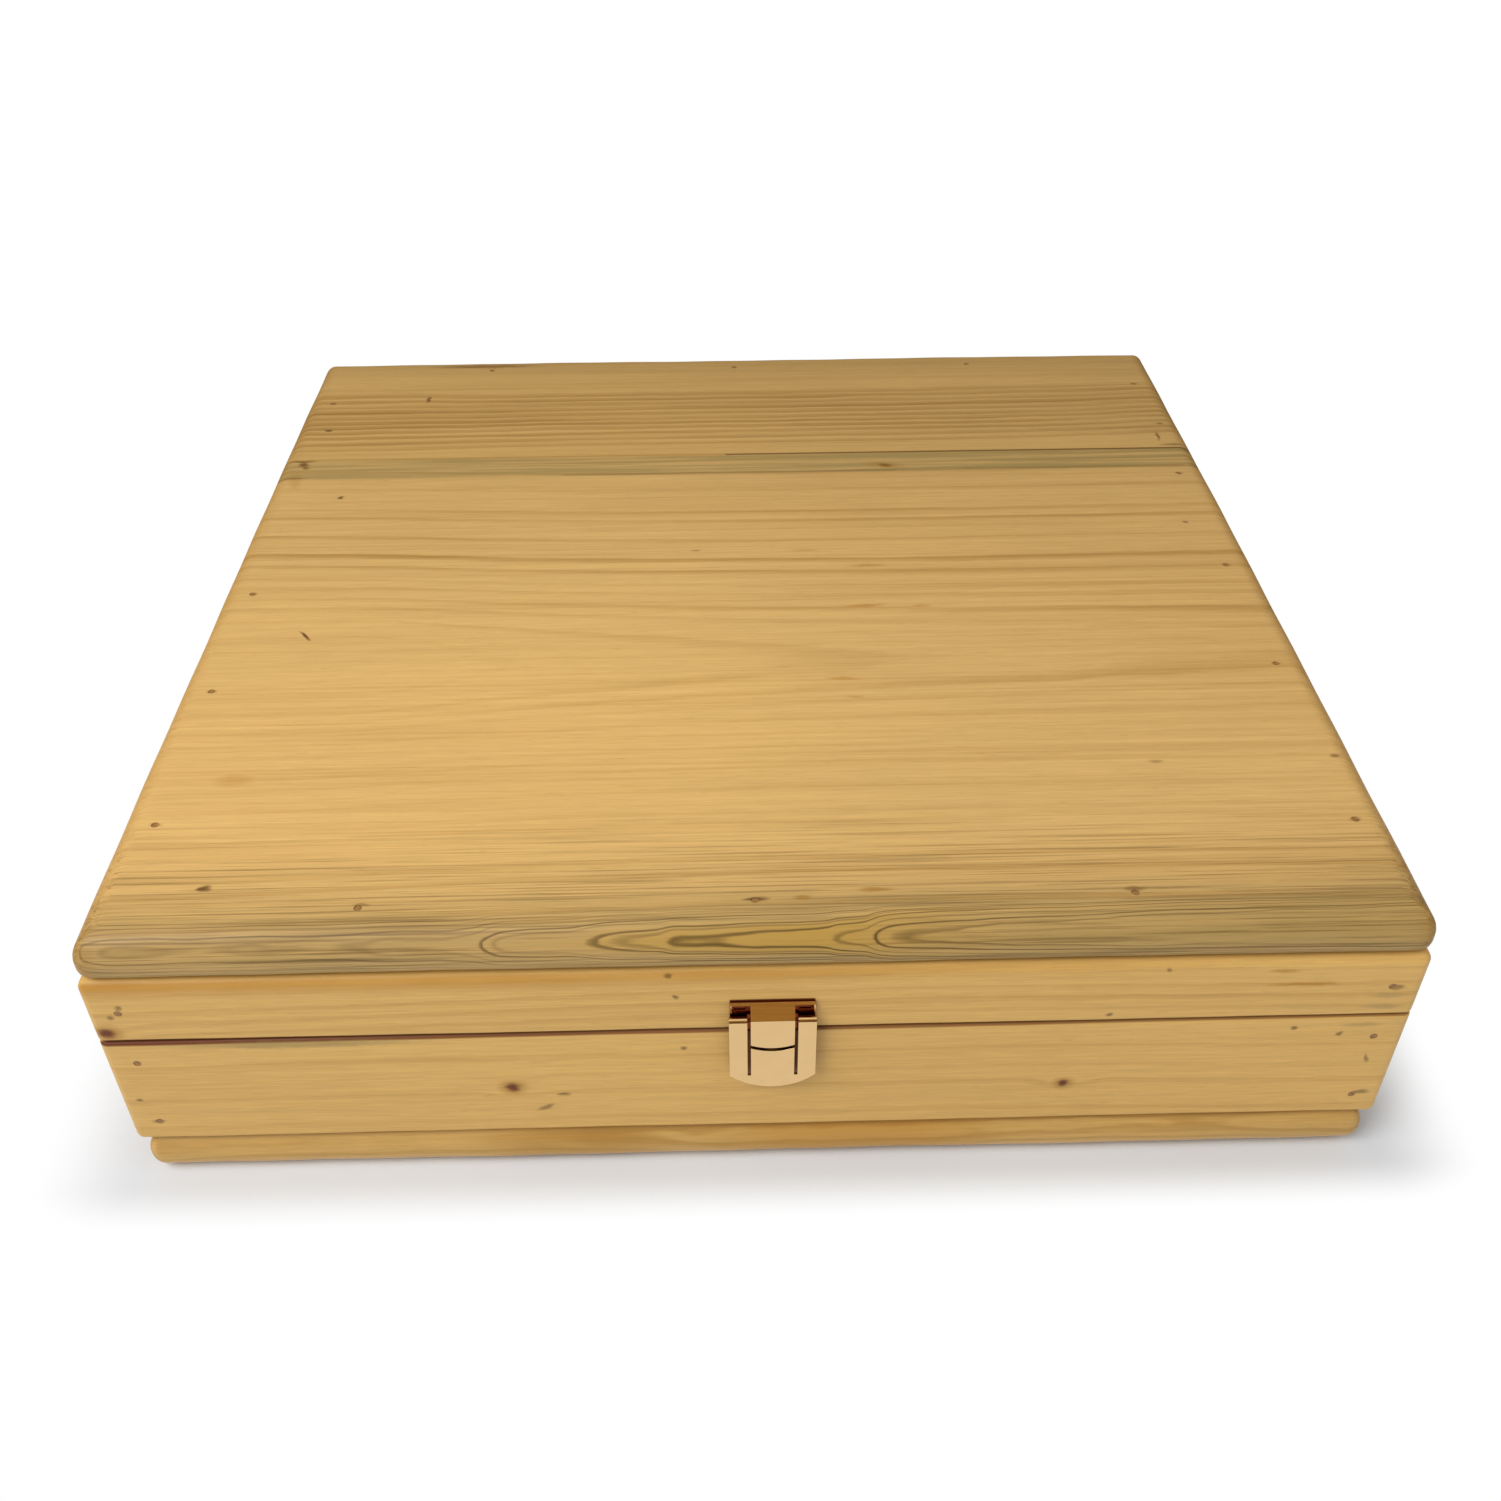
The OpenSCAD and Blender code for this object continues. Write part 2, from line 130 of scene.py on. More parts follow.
class BoardShape(bpy.types.PropertyGroup):
    """Roundings of the boards and the unevenness that hand sanding leaves"""

    plank_round: length("Plank edge", "Rounding of the top and bottom planks' edges", 7.4)
    plank_corner: length("Plank corner", "Rounding of the planks' corners, seen from above", 4.5)
    brow: length("Brow", "How much the top's front edge is rounder above and sharper below", 2.6)
    frame_corner: length("Frame corner", "Rounding of the frames' upright corners", 2.5)
    lid_shoulder: length("Lid shoulder", "Rounding of the lid frame beside the top planks", 3.2)
    seam_round: length("Seam edge", "Rounding of both frames' edges at the seam", 1.1)
    foot_round: length("Foot edge", "Rounding of the base frame's lower edge", 2.2)
    mitre: length("Sanded mitre", "Radius that sanding leaves where a corner's roundings meet", 1.4)
    wobble: length("Wobble", "Depth of the slow waves along the boards' faces", 0.25)
    round_waver: bpy.props.FloatProperty(
        name="Waver", description="Share by which roundings swell and shrink", default=0.07, subtype="FACTOR")
    step: length("Step", "Distance between two rings of points along a board", 4)
    leaf: length("Hinge leaf", "Depth of the mortise for a hinge leaf", 1.2)
    play: length("Play", "Clearance round a brad's head and a hinge leaf", 0.03)


class PineFinish(bpy.types.PropertyGroup):
    """Colours of the pine under its clear lacquer, and the painted shade and sheen laid on it"""

    early: tint("Early wood", "Pale wood of spring, between the ring lines", "D5AC68")
    late: tint("Late wood", "Ring lines", "966616")
    frame_early: tint("Frame early wood", "Pale wood of the frames and the bottom, yellower", "CCA25A")
    rear_early: tint("Rear early wood", "Pale wood of the top's rear plank, which is darker", "C29C5C")
    rear_late: tint("Rear late wood", "Ring lines of the rear plank", "845C1C")
    blue_stain: tint("Blue stain", "Sapwood that fungus has turned grey and olive", "847443")
    char: tint("Dark rings", "Ring lines in the stained sapwood", "4E370F")
    resin: tint("Resin", "Amber streaks of resin and pooled lacquer", "A8721A")
    nose: tint("Nose wood", "Outer rings that the rounded front edge lays bare", "B08A3A")
    knot: tint("Knot", "Heart of a small knot", "662F08")
    dirt: tint("Dirt", "Marks round the brads and dark fine cracks", "5A3A12")
    # Painted sheen: the bottom's lower edge is painted paler, as a highlight
    painted_sheen: tint("Worn wood", "Pale lower edge of the bottom, rubbed by handling", "DDB784")
    # Painted shade behind the lever's slots on the base's front; with the lid open it shows as brown strips
    gloom: tint("Gloom", "Wood behind the latch's arms, browned by rubbing", "6C3612")
    # Seam: painted shade of the gap between lid and base, also laid as the latch plate's painted shadow
    seam: tint("Seam", "Stain in the gap between lid and base", "5E2004")


class MetalFinish(bpy.types.PropertyGroup):
    """Colours and edges of the metal pieces, with the painted shade in the latch's hollows"""

    gold: tint("Latch gold", "Pale rose gold plating of the latch", "DBB883")
    brass: tint("Hinge brass", "Plated brass of hinges and screws", "D9B56C")
    # Painted shade and dark reflection in the latch plate's recess, also the dark colour of the pin and the
    # plate's screws
    latch_hollow_shade: tint("Recess", "Coppery plating that the polishing wheel doesn't reach", "6E3018")
    steel: tint("Brad steel", "Brads gone brown under the lacquer", "A0743A")
    fold: length("Folded edge", "Rounding of the sheet metal's edges", 0.22)


class StudioView(bpy.types.PropertyGroup):
    """The camera's place and the light"""

    place: bpy.props.FloatVectorProperty(
        name="Camera place", description="Where the camera stands", size=3, subtype="TRANSLATION",
        unit="LENGTH", default=(-9.23 * MM, -501.8 * MM, 416.39 * MM))
    turn: angle("Turn", "Camera's turn to the right of the Y axis", 1.2716)
    dip: angle("Dip", "Camera's dip below the horizon", 38.7052)
    lean: angle("Lean", "Camera's roll", -0.2742)
    lens: bpy.props.FloatProperty(
        name="Lens", description="Focal length on a 36 mm sensor", default=36.3715, unit="CAMERA")
    sky: bpy.props.FloatProperty(name="Sky", description="Strength of the light from all round", default=0.53)
    key: power("Key", "Power of the large lamp at the left", 17.5)
    fill: power("Fill", "Power of the lamp at the right", 1.5)
    paper: tint("Paper", "Floor of pale paper", "ECF1FA")
    # Halo: painted grey shadow of the paper near the box, seen by camera and mirror rays
    halo: tint("Halo", "The paper's shade close to the box", "D6D9DD")
    card: tint("Card", "Light belts of the brown card that the metal mirrors", "D8AB68")
    high_card: tint("Dark card", "Dark belts of the card", "5A4A2A")


def waver(place, seed):
    """Slow unevenness from -1 to 1: three sine waves of falling length and height along a place in
    metres."""
    lengths = np.array([0.190, 0.083, 0.037])
    heights = np.array([0.5, 0.3, 0.2])
    phases = seed * np.array([1.7, 2.9, 4.3])
    return (heights * np.sin(2 * np.pi * place[..., None] / lengths + phases)).sum(-1)


def edge_profile(low, high, round_low, round_high, hold):
    """Heights and insets of a board's outer edge, downwards: a flat ring at inset hold, a quarter circle, a
    flat, a quarter circle and a flat ring again. The roundings may change along the board, which is the
    second axis."""
    turn = np.linspace(0, math.pi / 2, EDGE_STEPS)[:, None]
    flat = np.ones((1, len(round_low)))
    rise, run = 1 - np.cos(turn), 1 - np.sin(turn)
    height = [high * flat, high - round_high * rise, low + round_low * run, low * flat]
    inset = [hold * flat, round_high * run, round_low * rise, hold * flat]
    return np.concatenate(height), np.concatenate(inset)


def unevenness(x, y, shape, seed):
    """Wobble of the face and swelling of the roundings at places x, y of the outline."""
    place = x + 0.7 * y
    wobble = shape.wobble * (0.5 + 0.5 * waver(place, seed + 3))
    swell = 1 + shape.round_waver * waver(place, seed)
    return wobble, swell


def grid_quads(number):
    """Quads between neighbouring points of a grid that is given as the points' numbers."""
    corners = [number[:-1, :-1], number[1:, :-1], number[1:, 1:], number[:-1, 1:]]
    return np.stack(corners, -1).reshape(-1, 4)


def three_sided(half, outer, inner, low, high, round_low, round_high, corner, shape, seed, brow=0.0):
    """Board whose edge is rounded at its two ends and along its outer side, with a flat face at inner. Its
    profile is carried along a path: from the flat face along one end, round the corner, along the outer
    side, and back. Outer is signed, and outer and inner are distances from the middle along Y. Towards the
    front edge the upper rounding grows by brow and the lower one shrinks by it."""
    sign = 1 if outer > 0 else -1
    reach, start = abs(outer), abs(inner) * (1 if inner * outer > 0 else -1)
    sides = max(2, int((reach - start) / shape.step))
    front = int(2 * half / shape.step)
    arc = CORNER_STEPS
    out, along = np.linspace(0, 1, sides, endpoint=False), np.linspace(0, 1, front)[1:-1]
    back = out[::-1]
    rise, run = np.sin(np.linspace(0, math.pi / 2, arc)), np.cos(np.linspace(0, math.pi / 2, arc))

    def outline(inset):
        """Half width, reach and corner radius shrink with the inset; the points follow from them in five
        blocks."""
        left = corner - inset
        radius = 0.5 * left + np.sqrt(0.25 * left ** 2 + shape.mitre ** 2)
        cuts = np.cumsum([sides, arc, front - 2, arc])
        a, b, r = (np.split(v, cuts, axis=1) for v in (half - inset, reach - inset, radius))
        x = [-a[0] + 0 * out, -(a[1] - r[1]) - r[1] * run, (a[2] - r[2]) * (2 * along - 1),
             (a[3] - r[3]) + r[3] * rise, a[4] + 0 * back]
        t = [start + (b[0] - r[0] - start) * out, b[1] - r[1] + r[1] * rise, b[2] + 0 * along,
             b[3] - r[3] + r[3] * run, start + (b[4] - r[4] - start) * back]
        return np.concatenate(x, axis=1), np.concatenate(t, axis=1)

    count = 2 * sides + 2 * arc + front - 2
    x, t = outline(np.zeros((1, count)))
    wobble, swell = unevenness(x[0], sign * t[0], shape, seed)
    front_share = np.clip(-sign * t[0] / reach, 0, 1) ** 2
    hold = HOLD * (max(round_low, round_high) + brow)
    z, inset = edge_profile(
        low, high, (round_low - brow * front_share) * swell, (round_high + brow * front_share) * swell, hold)
    inset[1:-1] += wobble
    x, t = outline(inset)
    points = np.stack([x, sign * t, z], axis=-1).reshape(-1, 3)

    rings = len(z)
    number = np.arange(rings * count).reshape(rings, count)
    quads = [grid_quads(number),
             np.stack([number[:-1, 0], number[1:, 0], number[1:, -1], number[:-1, -1]], -1)]
    bend = sides + arc - 1
    wide = []
    for ring in (number[0], number[-1]):
        left, right = ring[:bend], ring[::-1][:bend]
        quads.append(np.stack([left[:-1], left[1:], right[1:], right[:-1]], -1))
        wide.append(ring[bend - 1:count - bend + 1].tolist())
    return points, np.concatenate(quads).tolist() + wide


def straight(side, half, inner, start, end, low, high, round_low, round_high, shape, seed):
    """Board along Y whose outer edge alone is rounded: a closed profile carried along a straight path, with
    a flat face at each end. Side is -1 for the left board and 1 for the right one."""
    stations = np.linspace(start, end, max(2, int((end - start) / shape.step)))
    wobble, swell = unevenness(side * half, stations, shape, seed)
    hold = HOLD * max(round_low, round_high)
    z, inset = edge_profile(low, high, round_low * swell, round_high * swell, hold)
    inset[1:-1] += wobble
    thick = np.full((1, len(stations)), half - inner)
    z = np.concatenate([z[:1], z, z[-1:]])
    inset = np.concatenate([thick, inset, thick])
    points = np.stack([side * (half - inset), np.broadcast_to(stations, z.shape), z], axis=-1).reshape(-1, 3)
    number = np.arange(z.size).reshape(z.shape)
    around = np.concatenate([number, number[:1]])
    return points, grid_quads(around).tolist() + [number[:, 0].tolist(), number[:, -1].tolist()]


def round_bar(start, end, axis, radius):
    """Closed round bar between two places along one axis, given as centre points."""
    turn = np.linspace(0, 2 * math.pi, HOLE_SIDES, endpoint=False)
    across = [i for i in range(3) if i != axis]
    points = np.zeros((2, len(turn), 3))
    points[0] += start
    points[1] += end
    points[..., across[0]] += radius * np.cos(turn)
    points[..., across[1]] += radius * np.sin(turn)
    n = len(turn)
    first = np.arange(n)
    after = (first + 1) % n
    quads = np.stack([first, after, after + n, first + n], -1).tolist()
    return points.reshape(-1, 3), quads + [first.tolist(), (first + n).tolist()]


def block(low, high):
    """Closed box between two corners."""
    shares = np.array([(x, y, z) for z in (0, 1) for y in (0, 1) for x in (0, 1)])
    faces = [[0, 1, 3, 2], [4, 5, 7, 6], [0, 1, 5, 4], [2, 3, 7, 6], [0, 2, 6, 4], [1, 3, 7, 5]]
    return np.array(low) + shares * (np.array(high) - np.array(low)), faces


def together(parts):
    """Several lists of points and faces as one."""
    points, faces, base = [], [], 0
    for some, those in parts:
        points.append(some)
        faces += [[base + i for i in face] for face in those]
        base += len(some)
    return np.concatenate(points), faces


def finish_mesh(mesh):
    """Turns all faces outwards and shades them smooth, with sharp edges kept."""
    work = bmesh.new()
    work.from_mesh(mesh)
    bmesh.ops.recalc_face_normals(work, faces=work.faces)
    work.to_mesh(mesh)
    work.free()
    mesh.shade_smooth()
    mesh.set_sharp_from_angle(angle=math.radians(WOOD_SHARP))


def new_object(name, points, faces):
    """Object at the origin whose mesh holds these points and faces."""
    mesh = bpy.data.meshes.new(name)
    mesh.from_pydata(points.tolist(), [], faces)
    mesh.validate()
    thing = bpy.data.objects.new(name, mesh)
    bpy.context.scene.collection.objects.link(thing)
    finish_mesh(mesh)
    return thing


def cut(thing, parts):
    """Takes the parts' shapes out of the object's mesh."""
    tool = new_object("cutter", *together(parts))
    boolean = thing.modifiers.new("cut", "BOOLEAN")
    boolean.operation, boolean.solver, boolean.object = "DIFFERENCE", "EXACT", tool
    whole = thing.evaluated_get(bpy.context.evaluated_depsgraph_get())
    mesh = bpy.data.meshes.new_from_object(whole)
    thing.modifiers.clear()
    thing.data = mesh
    bpy.data.objects.remove(tool)
    finish_mesh(mesh)


def merged_copy(node):
    """Copy of a CAD node's loose triangles, joined at equal points."""
    work = bmesh.new()
    work.from_mesh(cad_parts[node].data)
    bmesh.ops.remove_doubles(work, verts=work.verts, dist=MERGE)
    return work


def solids(node):
    """Lowest and highest corner of each separate solid of a CAD node: the lowest number in each group of
    joined points spreads along the edges until it rests."""
    work = merged_copy(node)
    spots = np.array([v.co for v in work.verts])
    edges = np.array([[v.index for v in e.verts] for e in work.edges])
    work.free()
    label = np.arange(len(spots))
    while True:
        spread = label.copy()
        np.minimum.at(spread, edges[:, 0], label[edges[:, 1]])
        np.minimum.at(spread, edges[:, 1], label[edges[:, 0]])
        if (spread == label).all():
            break
        label = spread
    groups = [spots[label == one] for one in np.unique(label)]
    return [(g.min(0), g.max(0)) for g in groups]


def brad_holes(node, shape):
    """Bars that open the wood over the brads' heads, and a little way down beside them."""
    middle = (np.array(CAD_BOX[0]) + np.array(CAD_BOX[1])) / 2
    openings = []
    for low, high in solids(node):
        axis = int(np.argmax(high - low))
        centre = (low + high) / 2
        radius = (high - low)[(axis + 1) % 3] / 2 + shape.play
        out = 1 if centre[axis] > middle[axis] else -1
        head = (high if out > 0 else low)[axis]
        start, end = centre.copy(), centre.copy()
        start[axis] = head - out * HOLE_BELOW
        end[axis] = head + out * HOLE_ABOVE
        openings.append(round_bar(start, end, axis, radius))
    return openings


def mortises(leaves, face, into, shape):
    """Boxes that open the wood for the hinge leaves: into is the direction from the wood's face into the
    wood."""
    boxes = []
    for leaf in leaves:
        low, high = (np.array(c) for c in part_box(leaf))
        deep, proud = face + into * (shape.leaf + shape.play), face - into * shape.leaf
        low[2], high[2] = min(deep, proud), max(deep, proud)
        low[:2] -= shape.play
        high[:2] += shape.play
        boxes.append(block(low, high))
    return boxes


# The property that the mode after a node kind's colon sets
MODES = {
    "Math": "operation", "VectorMath": "operation", "MapRange": "interpolation_type", "Mix": "data_type",
    "Mapping": "vector_type", "TexNoise": "noise_dimensions", "TexWhiteNoise": "noise_dimensions"}
# Half the run in millimetres over which a board's stain changes, and its ring lines and pooled lacquer
HALF_RUN, SHORT_RUN = 190.0, 150.0
# How much a ring line's strength from 0 to 20 counts
LINE_SHARE = 0.05


def solid_colour(value):
    """A colour property with its alpha."""
    return (*value, 1.0)


class Nodes:
    """The nodes of a material or of the world while they are made"""

    def __init__(self, owner):
        owner.use_nodes = True
        self.tree = owner.node_tree
        self.tree.nodes.clear()

    def add(self, kind, sources=(), **settings):
        """Adds one node: kind is its type, with its mode after a colon, and settings are its other
        properties. Sources fill its enabled inputs in order, or by name, with numbers, colours, sockets or
        the first enabled output of other nodes."""
        kind, _, mode = kind.partition(":")
        node = self.tree.nodes.new("ShaderNode" + kind)
        if mode:
            settings[MODES[kind]] = mode
        for key, value in settings.items():
            setattr(node, key, value)
        if isinstance(sources, dict):
            pairs = [(node.inputs[key], value) for key, value in sources.items()]
        else:
            pairs = zip([s for s in node.inputs if s.enabled], sources)
        for socket, source in pairs:
            if isinstance(source, bpy.types.Node):
                source = next(s for s in source.outputs if s.enabled)
            if isinstance(source, bpy.types.NodeSocket):
                self.tree.links.new(source, socket)
            else:
                socket.default_value = source
        return node

    def place(self, scale):
        """The shaded place on the object, in units of which this many make a metre."""
        coordinates = self.add("TexCoord")
        return self.add("VectorMath:SCALE", {"Vector": coordinates.outputs["Object"], "Scale": scale})

    def pattern(self, place, sizes, seed, detail=2.0, span=()):
        """Noise whose features have these sizes along X, Y and Z. The span, if given, is the range that it
        is taken from and the range that it is stretched to."""
        scale = [1 / s for s in sizes]
        home = (seed, seed * 1.3, seed * 0.7)
        spot = self.add("Mapping", {"Vector": place, "Location": home, "Scale": scale})
        noise = self.add("TexNoise", {"Vector": spot, "Scale": 1.0, "Detail": detail, "Roughness": 0.55})
        return self.add("MapRange", [noise, *span]) if span else noise

    def course(self, source, points, smooth=True):
        """Value that follows points (place, value) as the source moves: a curve in a unit square, scaled
        back."""
        places, values = np.array(points, dtype=float).T
        low, high = values.min(), max(values.max(), values.min() + 1e-6)
        share = self.add("MapRange", [source, places[0], places[-1], 0.0, 1.0])
        curve = self.add("FloatCurve", [1.0, share])
        line = curve.mapping.curves[0]
        shares = [(places - places[0]) / (places[-1] - places[0]), (values - low) / (high - low)]
        spots = np.stack(shares, 1).tolist()
        line.points[0].location, line.points[-1].location = spots[0], spots[-1]
        for spot in spots[1:-1]:
            line.points.new(*spot)
        for point in line.points:
            point.handle_type = "AUTO_CLAMPED" if smooth else "VECTOR"
        curve.mapping.update()
        return self.add("MapRange", [curve, 0.0, 1.0, low, high])

    def lay(self, under, colour, *shares):
        """Lays a colour over the one under it, by the product of the shares."""
        share = shares[0]
        for other in shares[1:]:
            share = self.add("Math:MULTIPLY", [share, other])
        return self.add("Mix:RGBA", [share, under, solid_colour(colour)])

    def seen_rays(self):
        """1 for the rays that see the studio itself: camera rays, reflections and refractions."""
        ray = self.add("LightPath")
        seen = self.add("Math:MAXIMUM", [ray.outputs["Is Camera Ray"], ray.outputs["Is Glossy Ray"]])
        return self.add("Math:MAXIMUM", [seen, ray.outputs["Is Transmission Ray"]])


def bars(lines, which, low, high, broad=0.7):
    """Profile of ring lines (radius, strength at the left, strength at the right): each fades in from the
    pith's side and ends sharply, as late wood does."""
    points = [(low, 0.0)]
    for line in lines:
        strength = line[which]
        width = broad * (1 + 0.07 * strength)
        start = max(points[-1][0] + 0.02, line[0] - 2.2 * width)
        body = start + 0.4 * (line[0] - start)
        points += [(start, 0.0), (body, 0.6 * strength), (line[0], strength), (line[0] + 0.6 * width, 0.0)]
    return points + [(high, 0.0)]


class Grain:
    """One board's wood, with places in millimetres. Run, across and through are the axes along the grain,
    across the face and through it; pith is its place across and through, each a number or a course along
    the board; and seed sets the random features.

    Lines: groups (side of the pith, least and greatest radius, ring lines). Bow: what is added to the outer
    radii along the board. Nose, nose_home: course and middle of the front edge's rings. Tones: shades across.
    drift: painted light and shade along the board. Bands: stain (start, full, end of full, end,
    strength left and right, colour).
    Pool: (start, full, strength left and right). Seam: painted shade of the gap (edge, reach left and right,
    strength left and right). painted_sheen: pale painted sheen on the lower edge (low, high, strength). Ends:
    how dark the ends are. Face: where the outer face lies.
    Knots, marks, patches: see where they are laid; some of them are painted shade round the seam and the
    latch."""

    ring, squeeze, wander, contrast, ripple, fine, streaky = 4.5, 1.0, 4.0, 1.0, 0.9, 1.0, 1.0
    lines = bow = nose = nose_home = tones = drift = bands = knots = marks = patches = pool = seam = painted_sheen = ()
    ends = face = 0.0
    colours = ("early", "late")

    def __init__(self, run, across, through, pith, seed, **settings):
        self.run, self.across, self.through, self.pith, self.seed = run, across, through, pith, seed
        for key, value in settings.items():
            setattr(self, key, value)


class Wood(Nodes):
    """The nodes of one board's wood: u, v and w are the places along, across and through the grain in
    millimetres, and colour is the wood's colour so far, over which each layer is laid"""

    def __init__(self, material, grain):
        super().__init__(material)
        self.grain, self.finish = grain, bpy.context.scene.pine_finish
        self.spot = self.place(1 / MM)
        split = self.add("SeparateXYZ", [self.spot])
        self.u, self.v, self.w = (split.outputs[i] for i in (grain.run, grain.across, grain.through))
        self.colour = None

    def noise(self, along, across, shift, detail=2.0, span=(), seed=None):
        """Noise drawn out along the grain, with the board's own seed or one that all boards share."""
        sizes = [across] * 3
        sizes[self.grain.run] = along
        seed = self.grain.seed if seed is None else seed
        return self.pattern(self.spot, sizes, seed + shift, detail, span)

    def centred(self, along, across, shift, height):
        """Noise about zero, times a height."""
        noise = self.add("Math:ADD", [self.noise(along, across, shift), -0.5])
        return self.add("Math:MULTIPLY", [noise, height])

    def along(self, left, right, half=HALF_RUN):
        """Value that changes evenly from the board's left to its right."""
        return self.add("MapRange", [self.u, -half, half, left, right])

    def paint(self, colour, *shares):
        """Lays one of the finish's colours over the wood, by the product of the shares."""
        self.colour = self.lay(self.colour, getattr(self.finish, colour), *shares)

    def ring_field(self):
        """Distance from the pith, and how far a place lies to the rear of it. The pith wanders along the
        board, and knots bend the rings."""
        grain = self.grain
        roam = self.add("VectorMath:ADD", [self.noise(240, 110, 0, 1.0).outputs["Color"], (-0.5, -0.5, -0.5)])
        roam = self.add("SeparateXYZ", [roam])
        offsets = []
        for axis, (source, home) in enumerate(zip((self.v, self.w), grain.pith)):
            pith = self.course(self.u, home) if isinstance(home, tuple) else home
            away = self.add("Math:SUBTRACT", [source, pith])
            offsets.append(self.add("Math:MULTIPLY_ADD", [roam.outputs[axis], 2 * grain.wander, away]))
        side = offsets[0]
        squeezed = self.add("Math:MINIMUM", [side, self.add("Math:MULTIPLY", [side, grain.squeeze])])
        radius = self.add("VectorMath:LENGTH", [self.add("CombineXYZ", [squeezed, offsets[1], 0.0])])
        if grain.bow:
            outer = self.add("MapRange:SMOOTHSTEP", [radius, 30.0, 75.0])
            radius = self.add("Math:MULTIPLY_ADD", [self.course(self.u, grain.bow), outer, radius])
        radius = self.add("Math:ADD", [radius, self.centred(34, 8, 11, 2 * grain.ripple)])
        for at_u, at_v, size in grain.knots:
            near = self.add("CombineXYZ", [self.u, self.v, 0.0])
            near = self.add("Mapping:TEXTURE", {
                "Vector": near, "Location": (at_u, at_v, 0), "Scale": (1.9 * size, size, 1)})
            away = self.add("VectorMath:LENGTH", [near])
            bend = self.add("MapRange:SMOOTHERSTEP", [away, 0.0, 6.0, 0.5 * grain.ring, 0.0])
            radius = self.add("Math:ADD", [radius, bend])
        return radius, side

    def named_lines(self, radius, side):
        """Ring lines at the radii that the board's list names, their strengths changing from left to
        right."""
        total = 0.0
        share = self.along(0.0, 1.0, SHORT_RUN)
        for which, low, high, lines in self.grain.lines:
            left, right = (self.course(radius, bars(lines, end, low, high), smooth=False) for end in (1, 2))
            group = self.add("Mix", [share, left, right])
            if which:
                near = self.add("MapRange:SMOOTHSTEP", [side, -4.0 * which, 4.0 * which])
                group = self.add("Math:MULTIPLY", [group, near])
            total = self.add("Math:ADD", [group, total])
        return self.add("Math:MULTIPLY", [total, LINE_SHARE])

    def random_lines(self, radius):
        """Ring lines of uneven distance and strength."""
        rings = self.add("Math:MULTIPLY", [radius, 1 / self.grain.ring])
        uneven = self.add("TexNoise:1D", {"W": rings, "Scale": 0.22, "Detail": 1.0})
        rings = self.add("Math:MULTIPLY_ADD", [uneven, 3.2, rings])
        part = self.add("Math:FRACT", [rings])
        number = self.add("Math:ADD", [self.add("Math:FLOOR", [rings]), self.grain.seed])
        depth = self.add("MapRange", [self.add("TexWhiteNoise:1D", [number]), 0.0, 1.0, 0.22, 1.0])
        rise = self.add("MapRange:SMOOTHSTEP", [part, 0.25, 0.86])
        fall = self.add("MapRange:SMOOTHSTEP", [part, 0.86, 1.0, 1.0, 0.0])
        line = self.add("Math:MULTIPLY", [rise, fall])
        return self.add("Math:MULTIPLY", [line, depth])

    def bare_wood(self, line, fibre, cloud):
        """Early wood, late wood in the ring lines and in broad and thin streaks, and shades from fibre to
        fibre."""
        grain = self.grain
        soft = self.noise(260, 5, 31, 3.0, (0.25, 0.75, -0.12 * grain.streaky, 0.20 * grain.streaky))
        thin = self.noise(240, 1.5, 37, 2.0, (0.48, 0.72, 0.0, 0.30 * grain.fine))
        amount = self.add("Math:MULTIPLY_ADD", [line, grain.contrast, soft])
        amount = self.add("Math:ADD", [amount, thin], use_clamp=True)
        early, late = (solid_colour(getattr(self.finish, key)) for key in grain.colours)
        shade = self.add("MapRange", [fibre, 0.2, 0.8, 0.92, 1.07])
        factors = [self.add("MapRange", [cloud, 0.2, 0.8, 0.95, 1.05]),
                   self.noise(11, 0.38, 29, 2.0, (0.2, 0.8, 0.90, 1.10))]
        # Tones lighten or darken the board across its width; drift is painted light and shade along it
        factors += [self.course(source, points)
                    for source, points in ((self.v, grain.tones), (self.u, grain.drift)) if points]
        for factor in factors:
            shade = self.add("Math:MULTIPLY", [shade, factor])
        wood = self.add("Mix:RGBA", [amount, early, late])
        self.colour = self.add("VectorMath:SCALE", {"Vector": wood, "Scale": shade})
        # Resin canals: short dark dashes
        self.paint(grain.colours[1], self.noise(9, 0.32, 57, 1.0, (0.70, 0.78, 0.0, 0.38)))

    def blue_stain(self):
        """Bands of stain across the face, broken into streaks."""
        broken = self.noise(90, 2.6, 0, 3.0, (0.38, 0.60, 0.25, 1.0), seed=61.0)
        for start, full, full_end, end, left, right, colour in self.grain.bands:
            inner = self.add("MapRange:SMOOTHSTEP", [self.v, start, full])
            outer = self.add("MapRange:SMOOTHSTEP", [self.v, full_end, end, 1.0, 0.0])
            self.paint(colour, inner, outer, broken, self.along(left, right))

